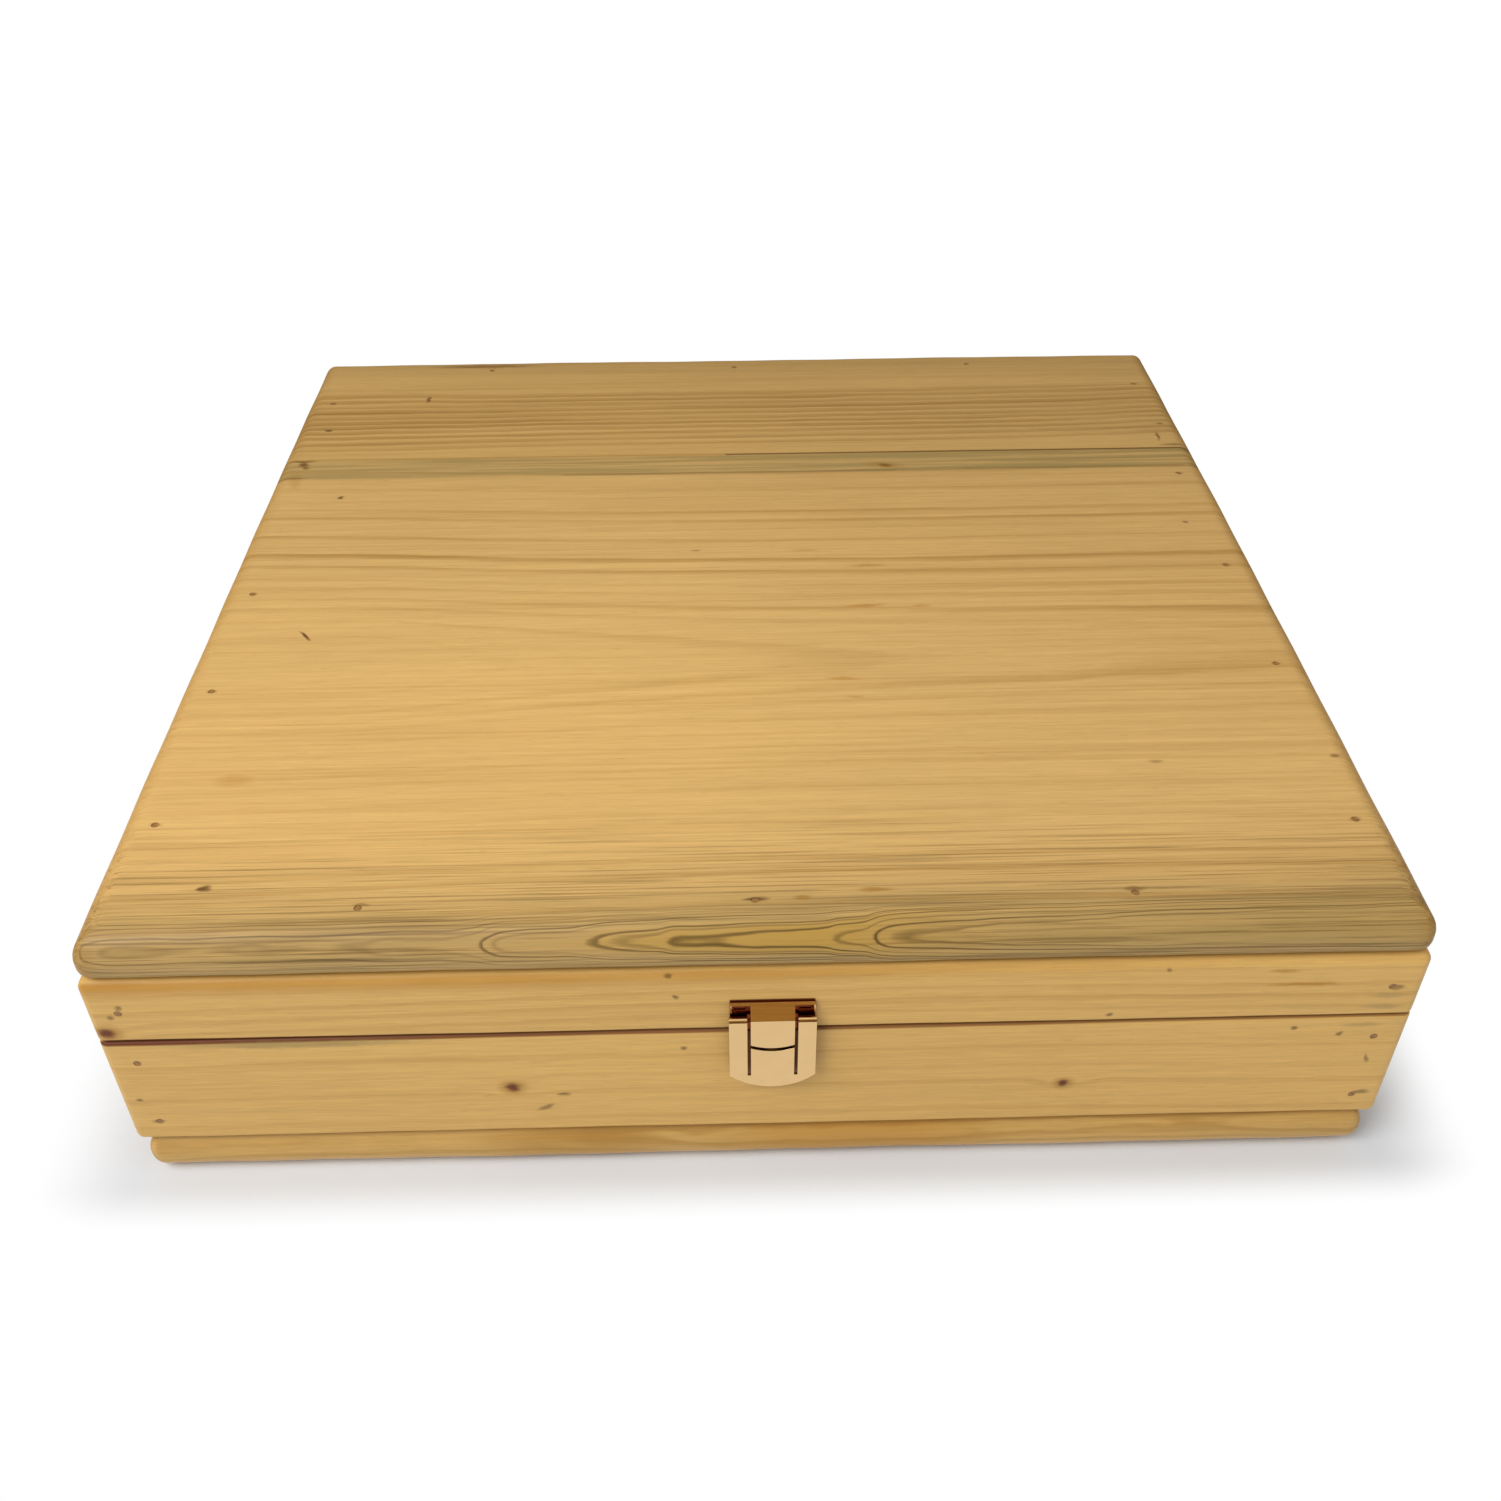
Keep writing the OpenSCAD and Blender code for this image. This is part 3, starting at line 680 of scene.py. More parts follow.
    def front_edge(self, cloud, uneven):
        """Hair lines towards the front edge, and the outer rings that its rounding lays bare. How far out a
        place lies among them is its distance along a line that rises steeply out of the rounding's middle,
        plus the board's own course, so that the rings close to loops where the rounding touches them."""
        home_v, home_w, reach, rise = self.grain.nose_home
        front = self.add("MapRange:SMOOTHSTEP", [self.v, -130.0, -178.0])
        self.paint("char", front, self.noise(75, 0.8, 53, 3.0, (0.50, 0.66, 0.0, 0.52)))
        out = self.add("Math:MULTIPLY", [self.add("Math:ADD", [self.v, -home_v]), -math.cos(rise)])
        up = self.add("Math:MULTIPLY_ADD", [self.add("Math:ADD", [self.w, -home_w]), math.sin(rise), out])
        level = self.add("Math:ADD", [self.course(self.u, self.grain.nose), up])
        level = self.add("Math:ADD", [level, -reach])
        level = self.add("Math:ADD", [level, self.centred(26, 9, 63, 0.6)])
        edge = self.add("MapRange:SMOOTHSTEP", [self.v, -181.0, -189.0])
        heart = self.add("MapRange:SMOOTHSTEP", [level, 0.4, 2.4])
        self.paint("nose", edge, heart, self.add("MapRange", [cloud, 0.35, 0.65, 0.9, 0.4]),
                   self.add("MapRange", [self.u, 25.0, 70.0, 1.0, 0.15]))
        rings = self.course(level, bars(NOSE_RINGS, 1, -9.0, 9.0, 0.085), smooth=False)
        self.paint("char", rings, edge, uneven)

    def dark_ends(self):
        """The boards' ends drink more lacquer."""
        away = self.add("Math:ABSOLUTE", [self.u])
        end = self.add("MapRange:SMOOTHSTEP", [away, 190.0, 199.0, 0.0, self.grain.ends])
        self.paint(self.grain.colours[1], end)

    def outer_skin(self):
        """1 on the outer face, where stain and pooled lacquer lie, and 0 on the inner one."""
        away = self.add("Math:ADD", [self.add("Math:ABSOLUTE", [self.w]), -self.grain.face])
        return self.add("MapRange:SMOOTHSTEP", [away, -2.2, -0.9])

    def seam_shade(self, skin):
        """Painted shade of the gap along the seam, deeper at the left."""
        edge, reach_left, reach_right, left, right = self.grain.seam
        away = self.add("Math:ABSOLUTE", [self.add("Math:ADD", [self.v, -edge])])
        away = self.add("Math:DIVIDE", [away, self.along(reach_left, reach_right)])
        stain = self.add("MapRange:SMOOTHSTEP", [away, 1.0, 0.35])
        self.paint("seam", stain, self.along(left, right), skin)

    def lacquer_pool(self, skin):
        """Lacquer that has pooled along an edge, in patches."""
        start, end, left, right = self.grain.pool
        pool = self.add("MapRange:SMOOTHSTEP", [self.v, start, end])
        patchy = self.noise(70, 14, 83, 2.0, (0.40, 0.60, 0.6, 1.0))
        self.paint("resin", pool, self.along(left, right, SHORT_RUN), patchy, skin)

    def straight_patches(self, skin):
        """Patches with straight edges: two ends along, two across, softness, strength, colour."""
        for u0, u1, v0, v1, soft, strength, colour in self.grain.patches:
            shares = [skin, strength]
            for source, low, high in ((self.u, u0, u1), (self.v, v0, v1)):
                away = self.add("Math:ABSOLUTE", [self.add("Math:ADD", [source, -(low + high) / 2])])
                half = (high - low) / 2
                shares.append(self.add("MapRange:SMOOTHSTEP", [away, half + soft, half, 0.0, 1.0]))
            self.paint(colour, *shares)

    def pale_sheen(self, uneven):
        """Pale painted sheen on the lower edge."""
        low, high, strength = self.grain.painted_sheen
        painted_sheen = self.add("MapRange:SMOOTHSTEP", [self.w, high, low, 0.0, strength])
        self.paint("painted_sheen", painted_sheen, uneven)

    def small_marks(self):
        """Marks and knots, a little ragged: place along and across, half length, half width, turn in
        degrees, strength and colour. A knot is a place and a size, and gets a dark rim and a heart."""
        ragged = self.add("VectorMath:ADD", [self.noise(7, 2.5, 91).outputs["Color"], (-0.5, -0.5, -0.5)])
        ragged = self.add("VectorMath:MULTIPLY", [ragged, (3.0, 2.2, 0.0)])
        spot = self.add("VectorMath:ADD", [self.add("CombineXYZ", [self.u, self.v, 0.0]), ragged])
        rims = [(u, v, 3.4 * size, 2.6 * size, 0, 0.6, "late") for u, v, size in self.grain.knots]
        hearts = [(u, v, 1.7 * size, 1.5 * size, 0, 1.0, "knot") for u, v, size in self.grain.knots]
        for u, v, long, short, turn, strength, colour in (*self.grain.marks, *rims, *hearts):
            near = self.add("Mapping:TEXTURE", {
                "Vector": spot, "Location": (u, v, 0), "Rotation": (0, 0, math.radians(turn)),
                "Scale": (long, short, 1)})
            away = self.add("VectorMath:LENGTH", [near])
            self.paint(colour, self.add("MapRange:SMOOTHSTEP", [away, 1.0, 0.25, 0.0, strength]))


def lacquered_pine(name, grain):
    """Flat-sawn pine, sanded by hand and brushed with clear lacquer: the eye sees ring lines that widen to
    arches where the saw ran along them, fine fibre streaks, blue-stained sapwood, and a soft gloss over all
    of it. Real fibres are 0.03 mm broad, too fine to show, so the streaks are drawn 0.3 to 0.9 mm broad."""
    material = bpy.data.materials.new(name)
    wood = Wood(material, grain)
    radius, side = wood.ring_field()
    line = wood.named_lines(radius, side) if grain.lines else wood.random_lines(radius)
    uneven = wood.noise(110, 16, 19, 2.0, (0.3, 0.7, 0.75, 1.2))
    line = wood.add("Math:MULTIPLY", [line, uneven])
    fibre, cloud = wood.noise(60, 0.9, 23, 3.0), wood.noise(150, 60, 43)
    wood.bare_wood(line, fibre, cloud)
    wood.blue_stain()
    if grain.nose:
        wood.front_edge(cloud, uneven)
    if grain.ends:
        wood.dark_ends()
    skin = wood.outer_skin() if grain.face else 1.0
    if grain.seam:
        wood.seam_shade(skin)
    if grain.pool:
        wood.lacquer_pool(skin)
    wood.straight_patches(skin)
    if grain.painted_sheen:
        wood.pale_sheen(uneven)
    wood.small_marks()

    # Clear lacquer: a soft gloss that follows the fibres a little
    gloss = wood.add("MapRange", [fibre, 0.2, 0.8, 0.46, 0.58])
    height = wood.add("Math:MULTIPLY_ADD", [fibre, 0.35, wood.noise(60, 22, 97)])
    height = wood.add("Math:MULTIPLY_ADD", [line, -0.25, height])
    relief = wood.add("Bump", {"Strength": 0.6, "Distance": 0.12 * MM, "Height": height})
    shader = wood.add("BsdfPrincipled", {
        "Base Color": wood.colour, "Roughness": gloss, "IOR": 1.48, "Normal": relief,
        "Specular IOR Level": 0.25, "Coat Weight": 0.08, "Coat Roughness": 0.25, "Coat IOR": 1.5})
    wood.add("OutputMaterial", [shader])
    return material


def recess_shade_share(nodes, place, face, floor, inner, crease):
    """Share of the painted shade in the plate's recess: 1 where the plate lies deep, nearer to the wood's
    face than floor, and below the crease nearer than inner."""
    split = nodes.add("SeparateXYZ", [place])
    out = nodes.add("Math:MULTIPLY_ADD", [split.outputs["Y"], -1.0, face])
    limit = nodes.add("MapRange", [split.outputs["Z"], crease - 0.1, crease + 0.1, inner, floor])
    return nodes.add("MapRange", [nodes.add("Math:SUBTRACT", [limit, out]), -0.02, 0.02])


def plated_metal(name, colour, rough, scratch, mottle, recess=(), dark=None):
    """Plated and polished metal: the eye sees the room in it, drawn out a little by polishing lines. They
    are too fine to show, so they are drawn 0.5 mm broad. In its recess the colour is painted dark and
    coppery, as painted shade and dark reflection."""
    material = bpy.data.materials.new(name)
    nodes = Nodes(material)
    place = nodes.place(1 / MM)
    lines = nodes.pattern(place, (14, 0.5, 0.5), 5, 3.0)
    tone = nodes.pattern(place, (5, 5, 5), 9, 2.0, (0.2, 0.8, 1 - mottle, 1 + mottle))
    shade = nodes.add("VectorMath:SCALE", {"Vector": tuple(colour), "Scale": tone})
    if recess:
        shade = nodes.lay(shade, dark, recess_shade_share(nodes, place, *recess))
    gloss = nodes.add("MapRange", [lines, 0.3, 0.7, rough * 0.8, rough * 1.3])
    relief = nodes.add("Bump", {"Strength": scratch, "Distance": 0.01 * MM, "Height": lines})
    shader = nodes.add("BsdfPrincipled", {
        "Base Color": shade, "Metallic": 1.0, "Roughness": gloss, "Normal": relief})
    nodes.add("OutputMaterial", [shader])
    return material


def aged_steel(name, colour):
    """Steel brad head under lacquer: the eye sees a dull brown dot with rusty specks about 1 mm across."""
    material = bpy.data.materials.new(name)
    nodes = Nodes(material)
    rust = nodes.pattern(nodes.place(1 / MM), (1.1, 1.1, 1.1), 3, 3.0, (0.35, 0.65))
    shade = nodes.add("Mix:RGBA", [rust, solid_colour(colour), solid_colour([c * 0.55 for c in colour])])
    rough = nodes.add("MapRange", [rust, 0.0, 1.0, 0.45, 0.7])
    shader = nodes.add("BsdfPrincipled", {"Base Color": shade, "Metallic": 0.0, "Roughness": rough})
    nodes.add("OutputMaterial", [shader])
    return material


# The wood of each board: places and radii in millimetres, strengths of ring lines from 0 to 20
TOP_BRADS = ((-186.5, (-143.9, -74.1, -12.2, 87, 149)), (186.5, (-152.1, -68.6, -2.7, 71, 158)))
TOP_MARKS = [(x, y, 2.6, 1.4, 0, 0.45, "dirt") for x, row in TOP_BRADS for y in row] + [
    (-190, 93.2, 9.0, 1.0, 0, 0.75, "dirt"), (-188, 90.5, 3.4, 3.0, 0, 0.8, "knot"),
    (-191, 78, 9.0, 1.0, 0, 0.5, "dirt"), (-189, 76, 4.0, 11.0, 12, 0.25, "late"),
    (-184, 122, 2.4, 1.5, 0, 0.8, "dirt"), (-167, 61, 2.0, 1.8, 0, 0.85, "dirt"),
    (-143, 152, 1.5, 4.4, 0, 0.8, "dirt"), (189, 117, 2.4, 1.4, 0, 0.6, "dirt"),
    (185.5, 105, 1.1, 6.0, 0, 0.7, "dirt"), (190, 97, 8.0, 1.6, 0, 0.5, "dirt"),
    (179, 30, 2.2, 1.4, 0, 0.6, "dirt"), (190, -121, 2.2, 1.4, 0, 0.6, "dirt"),
    (-161, -41, 5.2, 1.0, -50, 0.95, "dirt"), (62, 82, 4.4, 2.4, -12, 0.9, "dirt"),
    (62, 82, 12.0, 4.2, -12, 0.4, "late"), (48, 1, 10.0, 1.5, 0, 0.5, "resin"),
    (44, -27, 11.0, 1.5, 3, 0.55, "resin"), (65, -28, 6.0, 1.3, 0, 0.4, "resin"),
    (24, 13, 7.0, 1.5, 0, 0.3, "resin"), (-19, 14, 3.0, 1.2, 0, 0.4, "dirt"),
    (33, -73, 8.0, 1.3, -3, 0.45, "resin"), (36, -84, 5.0, 1.2, -3, 0.35, "resin"),
    (-1, -182, 5.0, 1.5, 0, 0.9, "dirt"), (13, -182, 4.0, 1.6, 0, 0.6, "late"),
    (35, -179, 7.0, 1.5, 0, 0.65, "late"), (111, -181, 4.5, 1.3, 0, 0.5, "dirt"),
    (-116, -181, 3.5, 1.2, 0, 0.5, "dirt"), (-164, -173, 3.0, 1.7, 8, 0.9, "dirt"),
    (131, -122, 3.5, 1.3, 0, 0.4, "dirt"), (-167, -123, 9.0, 4.0, 0, 0.3, "resin"),
    (-121, 187, 34.0, 2.4, 0, 0.6, "dirt")]
OLD_JOINT = ((-6, 199, 93.7, 94.2, 0.7, 0.85, "dirt"), (-199, -6, 94.0, 94.4, 0.8, 0.45, "late"))
STAIN_EDGE = ((-75, 66, 77.5, 77.8, 1.2, 0.22, "char"), (96, 190, 78.2, 78.4, 1.0, 0.2, "char"))
FRONT_LINES = (
    (0, 12, 60, ((18.7, 1.5, 1.5), (28.3, 4, 4))),
    (1, 30, 140, (
        (36.4, 4, 5), (42.1, 4, 9), (49.4, 5, 6), (54.9, 4, 4), (63.5, 9, 9), (71.5, 15, 15), (84.5, 9, 4),
        (98.3, 6, 10), (104.8, 5, 10), (121.2, 3, 8), (135.2, 9, 9))),
    (-1, 30, 137, (
        (33.3, 3, 7), (37.9, 3, 3), (44.9, 3, 3.5), (51.3, 1.5, 2), (57.5, 2.5, 3), (61.9, 3, 3.5),
        (67.3, 3, 3.5), (77.6, 2.5, 3), (88.0, 3, 3), (92.7, 3, 3), (109.0, 5, 5), (115.2, 8, 8),
        (128.2, 7, 10), (131.5, 5, 5))))
REAR_LINES = ((0, 60, 112, (
    (73.4, 8, 7), (76.0, 10, 9), (79.0, 8, 7), (82.1, 11, 10), (85.5, 9, 8), (89.1, 11, 9), (92.1, 12, 10),
    (95.6, 9, 8), (99.3, 8, 7), (103.5, 8, 7), (107.7, 7, 6))),)
NOSE_RINGS = (
    (-7.6, 0.25), (-6.6, 0.45), (-5.7, 0.25), (-4.9, 0.5), (-4.0, 0.3), (-3.1, 0.65), (-2.3, 0.35),
    (-1.5, 0.65), (-0.8, 0.35), (0.0, 0.9), (0.45, 0.4), (1.4, 0.95), (1.75, 0.5), (2.3, 0.95), (3.1, 0.5),
    (3.9, 0.95), (4.5, 0.5))
NOSE_COURSE = (
    (-200, -0.8), (-192, -0.1), (-186, 0.15), (-150, 0.25), (-120, 0.3), (-106, 0.65), (-84, 1.0),
    (-79, 1.45), (-72, 1.85), (-56, 2.0), (-49.5, 2.35), (-42, 2.7), (-30, 2.85), (-24, 3.25), (-8, 3.45),
    (14, 3.6), (20, 3.8), (23, 4.1), (30, 4.3), (34, 4.9), (42, 5.5), (80, 6.3), (200, 7.2))
FRONT_PITH = (-61.0, (
    (-200, 103.3), (-154, 102.1), (-120, 93.0), (-87, 85.7), (-21, 79.4), (46, 76.2), (113, 74.3),
    (200, 72.0)))
REAR_PITH = (
    ((-200, 187.0), (-154, 188.0), (-87, 192.2), (113, 192.7), (200, 198.0)),
    ((-200, 38.5), (-154, 38.9), (-87, 42.2), (113, 41.4), (200, 43.3)))
TOP = dict(wander=0.5, ripple=0.8, marks=TOP_MARKS, ends=0.4)
# drift on the top planks is painted shade: the right ends are painted darker
TOP_GRAIN = {
    "lid_plank_front": Grain(
        0, 1, 2, FRONT_PITH, 1.0, squeeze=0.945, bow=((-200, -2.0), (0, 1.7), (200, -0.8)), lines=FRONT_LINES,
        fine=0.5, streaky=0.65, contrast=0.74, patches=STAIN_EDGE,
        nose=NOSE_COURSE, nose_home=(-187.0, 94.3, 10.0, math.radians(33)),
        drift=((-200, 0.97), (-150, 0.975), (-50, 1.01), (50, 0.955), (200, 0.945)),
        tones=((-198, 0.77), (-192, 0.80), (-184, 0.9), (-168, 0.97), (-150, 1.03), (-120, 1.03), (-60, 1.0),
               (20, 0.93), (94, 0.85)),
        bands=((76, 77.5, 93.6, 94.4, 0.6, 0.75, "blue_stain"),
               (-172, -187, -230, -240, 0.3, 0.4, "blue_stain")), **TOP),
    "lid_plank_rear": Grain(
        0, 1, 2, REAR_PITH, 2.0, colours=("rear_early", "rear_late"), lines=REAR_LINES, fine=0.4,
        patches=OLD_JOINT, drift=((-200, 0.99), (-50, 0.98), (50, 0.965), (200, 0.94)),
        tones=((88, 1.0), (152, 1.0), (172, 0.95), (184, 0.85), (196, 0.83)),
        bands=((80, 82, 93.6, 94.4, 0.6, 0.75, "blue_stain"),), **TOP)}
FRAME = dict(colours=("frame_early", "late"), wander=5.0, fine=0.15, streaky=0.35)
# painted_sheen: pale painted highlight along the bottom planks' lower edge
BOTTOM = dict(tones=((-210, 0.86), (210, 0.86)), painted_sheen=(2.5, 7.0, 0.8), **FRAME)
BOTTOM_GRAIN = {
    "bottom_plank_front": Grain(
        0, 1, 2, (-120, -30), 5.0, ring=2.2, contrast=0.55,
        marks=((32, -197, 60.0, 9.0, 0, 0.45, "resin"), (-60, -197, 40.0, 9.0, 0, 0.35, "late")), **BOTTOM),
    "bottom_plank_rear": Grain(0, 1, 2, (90, 60), 6.0, ring=4.2, contrast=0.5, **BOTTOM)}
# Painted light and shade along the front boards: the right end is painted lighter
FRONT_LIGHT_DRIFT = ((-200, 0.97), (-100, 1.01), (60, 1.03), (120, 1.05), (200, 1.1))
FRONT_FACE, SIDE_FACE = 196.0, 200.0
# The seam entry paints the gap's shade on the lid's lower edge
LID = dict(pool=(81.0, 87.0, 1.0, 0.0), seam=(63.3, 1.3, 0.6, 0.95, 0.6), **FRAME)
LID_GRAIN = {
    "front": Grain(
        0, 2, 1, (-60, -150), 11.0, face=FRONT_FACE, drift=FRONT_LIGHT_DRIFT, knots=((-195.5, 67, 2.0),),
        lines=((0, 125, 165, ((131, 2, 2), (136, 4, 4), (140.7, 4, 5), (145.5, 4, 4), (152, 2, 2))),),
        marks=((163, 77.7, 15.0, 1.3, 0, 0.75, "resin"), (156, 83.6, 6.0, 1.2, 0, 0.6, "resin"),
               (-189, 78, 1.5, 1.3, 0, 0.6, "dirt"), (-193, 74, 1.5, 1.3, 0, 0.6, "dirt"),
               (-27, 86.6, 1.6, 1.0, 0, 0.7, "dirt"), (-25, 78, 1.5, 1.2, 0, 0.7, "dirt"),
               (106, 66, 1.4, 1.1, 0, 0.7, "dirt"), (121, 85, 1.4, 1.1, 0, 0.6, "dirt"),
               (192, 75.5, 3.0, 1.5, 0, 0.6, "dirt"), (190, 72, 9.0, 1.6, 0, 0.4, "blue_stain"),
               (189, 67, 9.0, 1.4, 0, 0.4, "blue_stain")),
        # Painted shadow of the latch plate on the lid's front, in the seam's shade colour
        patches=((-8.7, 16.3, 63.0, 75.9, 0.6, 0.97, "seam"),), **LID),
    "back": Grain(0, 2, 1, (60, 150), 12.0, ring=5.0, contrast=0.5, face=FRONT_FACE, **LID),
    "left": Grain(1, 2, 0, (30, -150), 13.0, contrast=0.5, face=SIDE_FACE, **LID),
    "right": Grain(1, 2, 0, (100, 150), 14.0, contrast=0.5, face=SIDE_FACE, **LID)}
# The seam entry paints the gap's shade on the base's upper edge
BASE = dict(seam=(62.6, 1.8, 0.6, 0.95, 0.6), **FRAME)
BASE_GRAIN = {
    "front": Grain(
        0, 2, 1, (-60, -150), 21.0, face=FRONT_FACE, drift=FRONT_LIGHT_DRIFT, knots=((-77, 38, 1.8), (96, 34, 1.5)),
        lines=((0, 80, 130, ((86, 2, 2), (95, 4, 4), (106.5, 4, 5), (113, 2, 3), (121, 4, 4))),),
        marks=((-61.5, 34, 3.0, 1.1, 0, 0.7, "dirt"), (-68, 28, 4.0, 1.3, 30, 0.6, "dirt"),
               (-23.5, 55, 1.5, 1.2, 0, 0.7, "dirt"), (164, 58, 1.5, 1.1, 0, 0.7, "dirt"),
               (179, 55, 1.5, 1.1, 0, 0.7, "dirt"), (-193.5, 36, 1.5, 1.2, 0, 0.7, "dirt"),
               (-190.5, 25.4, 3.0, 1.2, 0, 0.5, "dirt"), (192.5, 26.6, 3.4, 1.6, 0, 0.6, "dirt"),
               (185, 59, 9.0, 1.6, 0, 0.4, "blue_stain"), (190, 43, 1.0, 3.0, 20, 0.6, "dirt"),
               # Painted shadow under the seam, laid in the blue stain colour
               (-138, 60.5, 52.0, 2.2, 0, 0.6, "blue_stain")),
        # Painted shade behind the lever's slots
        patches=((-4.1, -2.8, 42.0, 63.0, 0.6, 0.85, "gloom"), (10.5, 11.8, 42.0, 63.0, 0.6, 0.85, "gloom")),
        **BASE),
    "back": Grain(0, 2, 1, (30, 140), 22.0, ring=5.0, contrast=0.45, face=FRONT_FACE, **BASE),
    "left": Grain(1, 2, 0, (20, -140), 23.0, ring=5.0, contrast=0.45, face=SIDE_FACE, **BASE),
    "right": Grain(1, 2, 0, (60, 140), 24.0, ring=5.0, contrast=0.45, face=SIDE_FACE, **BASE)}


def dress(thing, material, *nodes, body, slot):
    """Gives a new piece its material and its body, and hides the nodes that it stands for. Slot is not used.
    """
    thing.data.materials.clear()
    thing.data.materials.append(material)
    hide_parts(*nodes)
    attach(thing, body)


def repaint(node, material):
    """Gives a CAD node, whose mesh stays, its material."""
    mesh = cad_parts[node].data
    mesh.materials.clear()
    mesh.materials.append(material)


def folded_copy(node, material, body, slot, fold):
    """Merged copy of a CAD node with its flat faces made whole and its edges rounded as sheet metal's
    are."""
    work = merged_copy(node)
    bmesh.ops.dissolve_limit(work, angle_limit=math.radians(0.5), verts=work.verts, edges=work.edges)
    mesh = bpy.data.meshes.new(node + "_metal")
    work.to_mesh(mesh)
    work.free()
    thing = bpy.data.objects.new(node + "_metal", mesh)
    bpy.context.scene.collection.objects.link(thing)
    mesh.shade_smooth()
    mesh.set_sharp_from_angle(angle=math.radians(METAL_SHARP))
    bevel = thing.modifiers.new("fold", "BEVEL")
    bevel.width, bevel.segments, bevel.limit_method = fold, 2, "ANGLE"
    bevel.angle_limit = math.radians(FOLD_FROM)
    bevel.harden_normals = True
    dress(thing, material, node, body=body, slot=slot)


def wooden(node, surface, holes, grain, body, slot):
    """Board of a node's own name, from its surface, with holes cut in it and its wood."""
    board = new_object(node + "_wood", *surface)
    if holes:
        cut(board, holes)
    dress(board, lacquered_pine(node, grain), node, body=body, slot=slot)


def plank_pair(body, names, seed, grains, brads, brow=0.0):
    """The two planks of the top or the bottom, glued edge to edge."""
    shape = bpy.context.scene.board_shape
    holes = brad_holes(brads, shape)
    low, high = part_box(names[0])
    split = high.y
    for node, sign in zip(names, (-1, 1)):
        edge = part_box(node)
        outer = edge[0 if sign < 0 else 1].y
        surface = three_sided(edge[1].x, outer, split, low.z, high.z, shape.plank_round, shape.plank_round,
                              shape.plank_corner, shape, seed, brow)
        wooden(node, surface, holes, grains[node], body, "pine_planks")


def frame_boards(body, round_low, round_high, seed, grains, into):
    """The four boards of the base or of the lid: front and back run full width, the sides stand between
    them. The hinge leaves are let into the back board, in the direction into."""
    shape = bpy.context.scene.board_shape
    holes = brad_holes(body + "_corner_brads", shape)
    sides = {side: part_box(f"{body}_{side}_board") for side in ("front", "back", "left", "right")}
    low, high = (corner.z for corner in sides["front"])
    half, inner = sides["front"][1].x, sides["back"][0].y
    leaves = [f"{side}_hinge_{body}_leaf" for side in ("left", "right")]
    beds = mortises(leaves, low if into > 0 else high, into, shape)
    cuts = {"front": holes, "back": holes + beds, "left": [], "right": []}
    for side, sign in (("front", -1), ("back", 1), ("left", -1), ("right", 1)):
        if side in ("front", "back"):
            outer = sides[side][0 if sign < 0 else 1].y
            surface = three_sided(half, outer, sign * inner, low, high, round_low, round_high,
                                  shape.frame_corner, shape, seed)
        else:
            surface = straight(sign, half, sides["right"][0].x, -inner, inner, low, high,
                               round_low, round_high, shape, seed)
        wooden(f"{body}_{side}_board", surface, cuts[side], grains[side], body, "pine_frames")


class TOOLBOX_OT_top_planks(bpy.types.Operator):
    """Makes the two planks of the lid's top"""

    bl_idname = "toolbox.top_planks"
    bl_label = "Top planks"

    def execute(self, context):
        plank_pair("lid", ("lid_plank_front", "lid_plank_rear"), 2, TOP_GRAIN, "lid_top_brads",
                   context.scene.board_shape.brow)
        return {"FINISHED"}


class TOOLBOX_OT_bottom_planks(bpy.types.Operator):
    """Makes the two planks of the bottom"""

    bl_idname = "toolbox.bottom_planks"
    bl_label = "Bottom planks"

    def execute(self, context):
        plank_pair("base", ("bottom_plank_front", "bottom_plank_rear"), 7, BOTTOM_GRAIN, "bottom_brads")
        return {"FINISHED"}


class TOOLBOX_OT_lid_boards(bpy.types.Operator):
    """Makes the lid's four frame boards"""

    bl_idname = "toolbox.lid_boards"
    bl_label = "Lid boards"

    def execute(self, context):
        shape = context.scene.board_shape
        frame_boards("lid", shape.seam_round, shape.lid_shoulder, 4, LID_GRAIN, 1)
        return {"FINISHED"}


class TOOLBOX_OT_base_boards(bpy.types.Operator):
    """Makes the base's four frame boards"""

    bl_idname = "toolbox.base_boards"
    bl_label = "Base boards"

    def execute(self, context):
        shape = context.scene.board_shape
        frame_boards("base", shape.foot_round, shape.seam_round, 9, BASE_GRAIN, -1)
        return {"FINISHED"}


class TOOLBOX_OT_latch(bpy.types.Operator):
    """Dresses the latch's plate, lever, pin and catch"""

    bl_idname = "toolbox.latch"
    bl_label = "Latch"

    def execute(self, context):
        metal = context.scene.metal_finish
        gold = plated_metal("rose_gold_plated_steel", metal.gold, *LATCH_POLISH)
        # The plate's recess gets painted shade and dark reflection in the latch_hollow_shade colour
        face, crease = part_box("latch_plate")[1].y / MM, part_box("latch_lever")[1].z / MM + CREASE_RISE
        recess_shaded = plated_metal("rose_gold_painted_recess_shade", metal.gold, *LATCH_POLISH,
                                (face, RECESS_FLOOR, BILL_INNER, crease), metal.latch_hollow_shade)
        for node, body, finish in (("latch_plate", "lid", recess_shaded), ("latch_lever", "lever", gold),
                                   ("catch_plate", "base", gold)):
            folded_copy(node, finish, body, "latch_gold", metal.fold)
        # The pin and the plate's screws sit in shade: their dark coppery colour is painted shade
        coppery = plated_metal("pin_steel_painted_shade", metal.latch_hollow_shade, *PIN_POLISH)
        for node in ("latch_pin", "latch_plate_screws"):
            repaint(node, coppery)
        return {"FINISHED"}


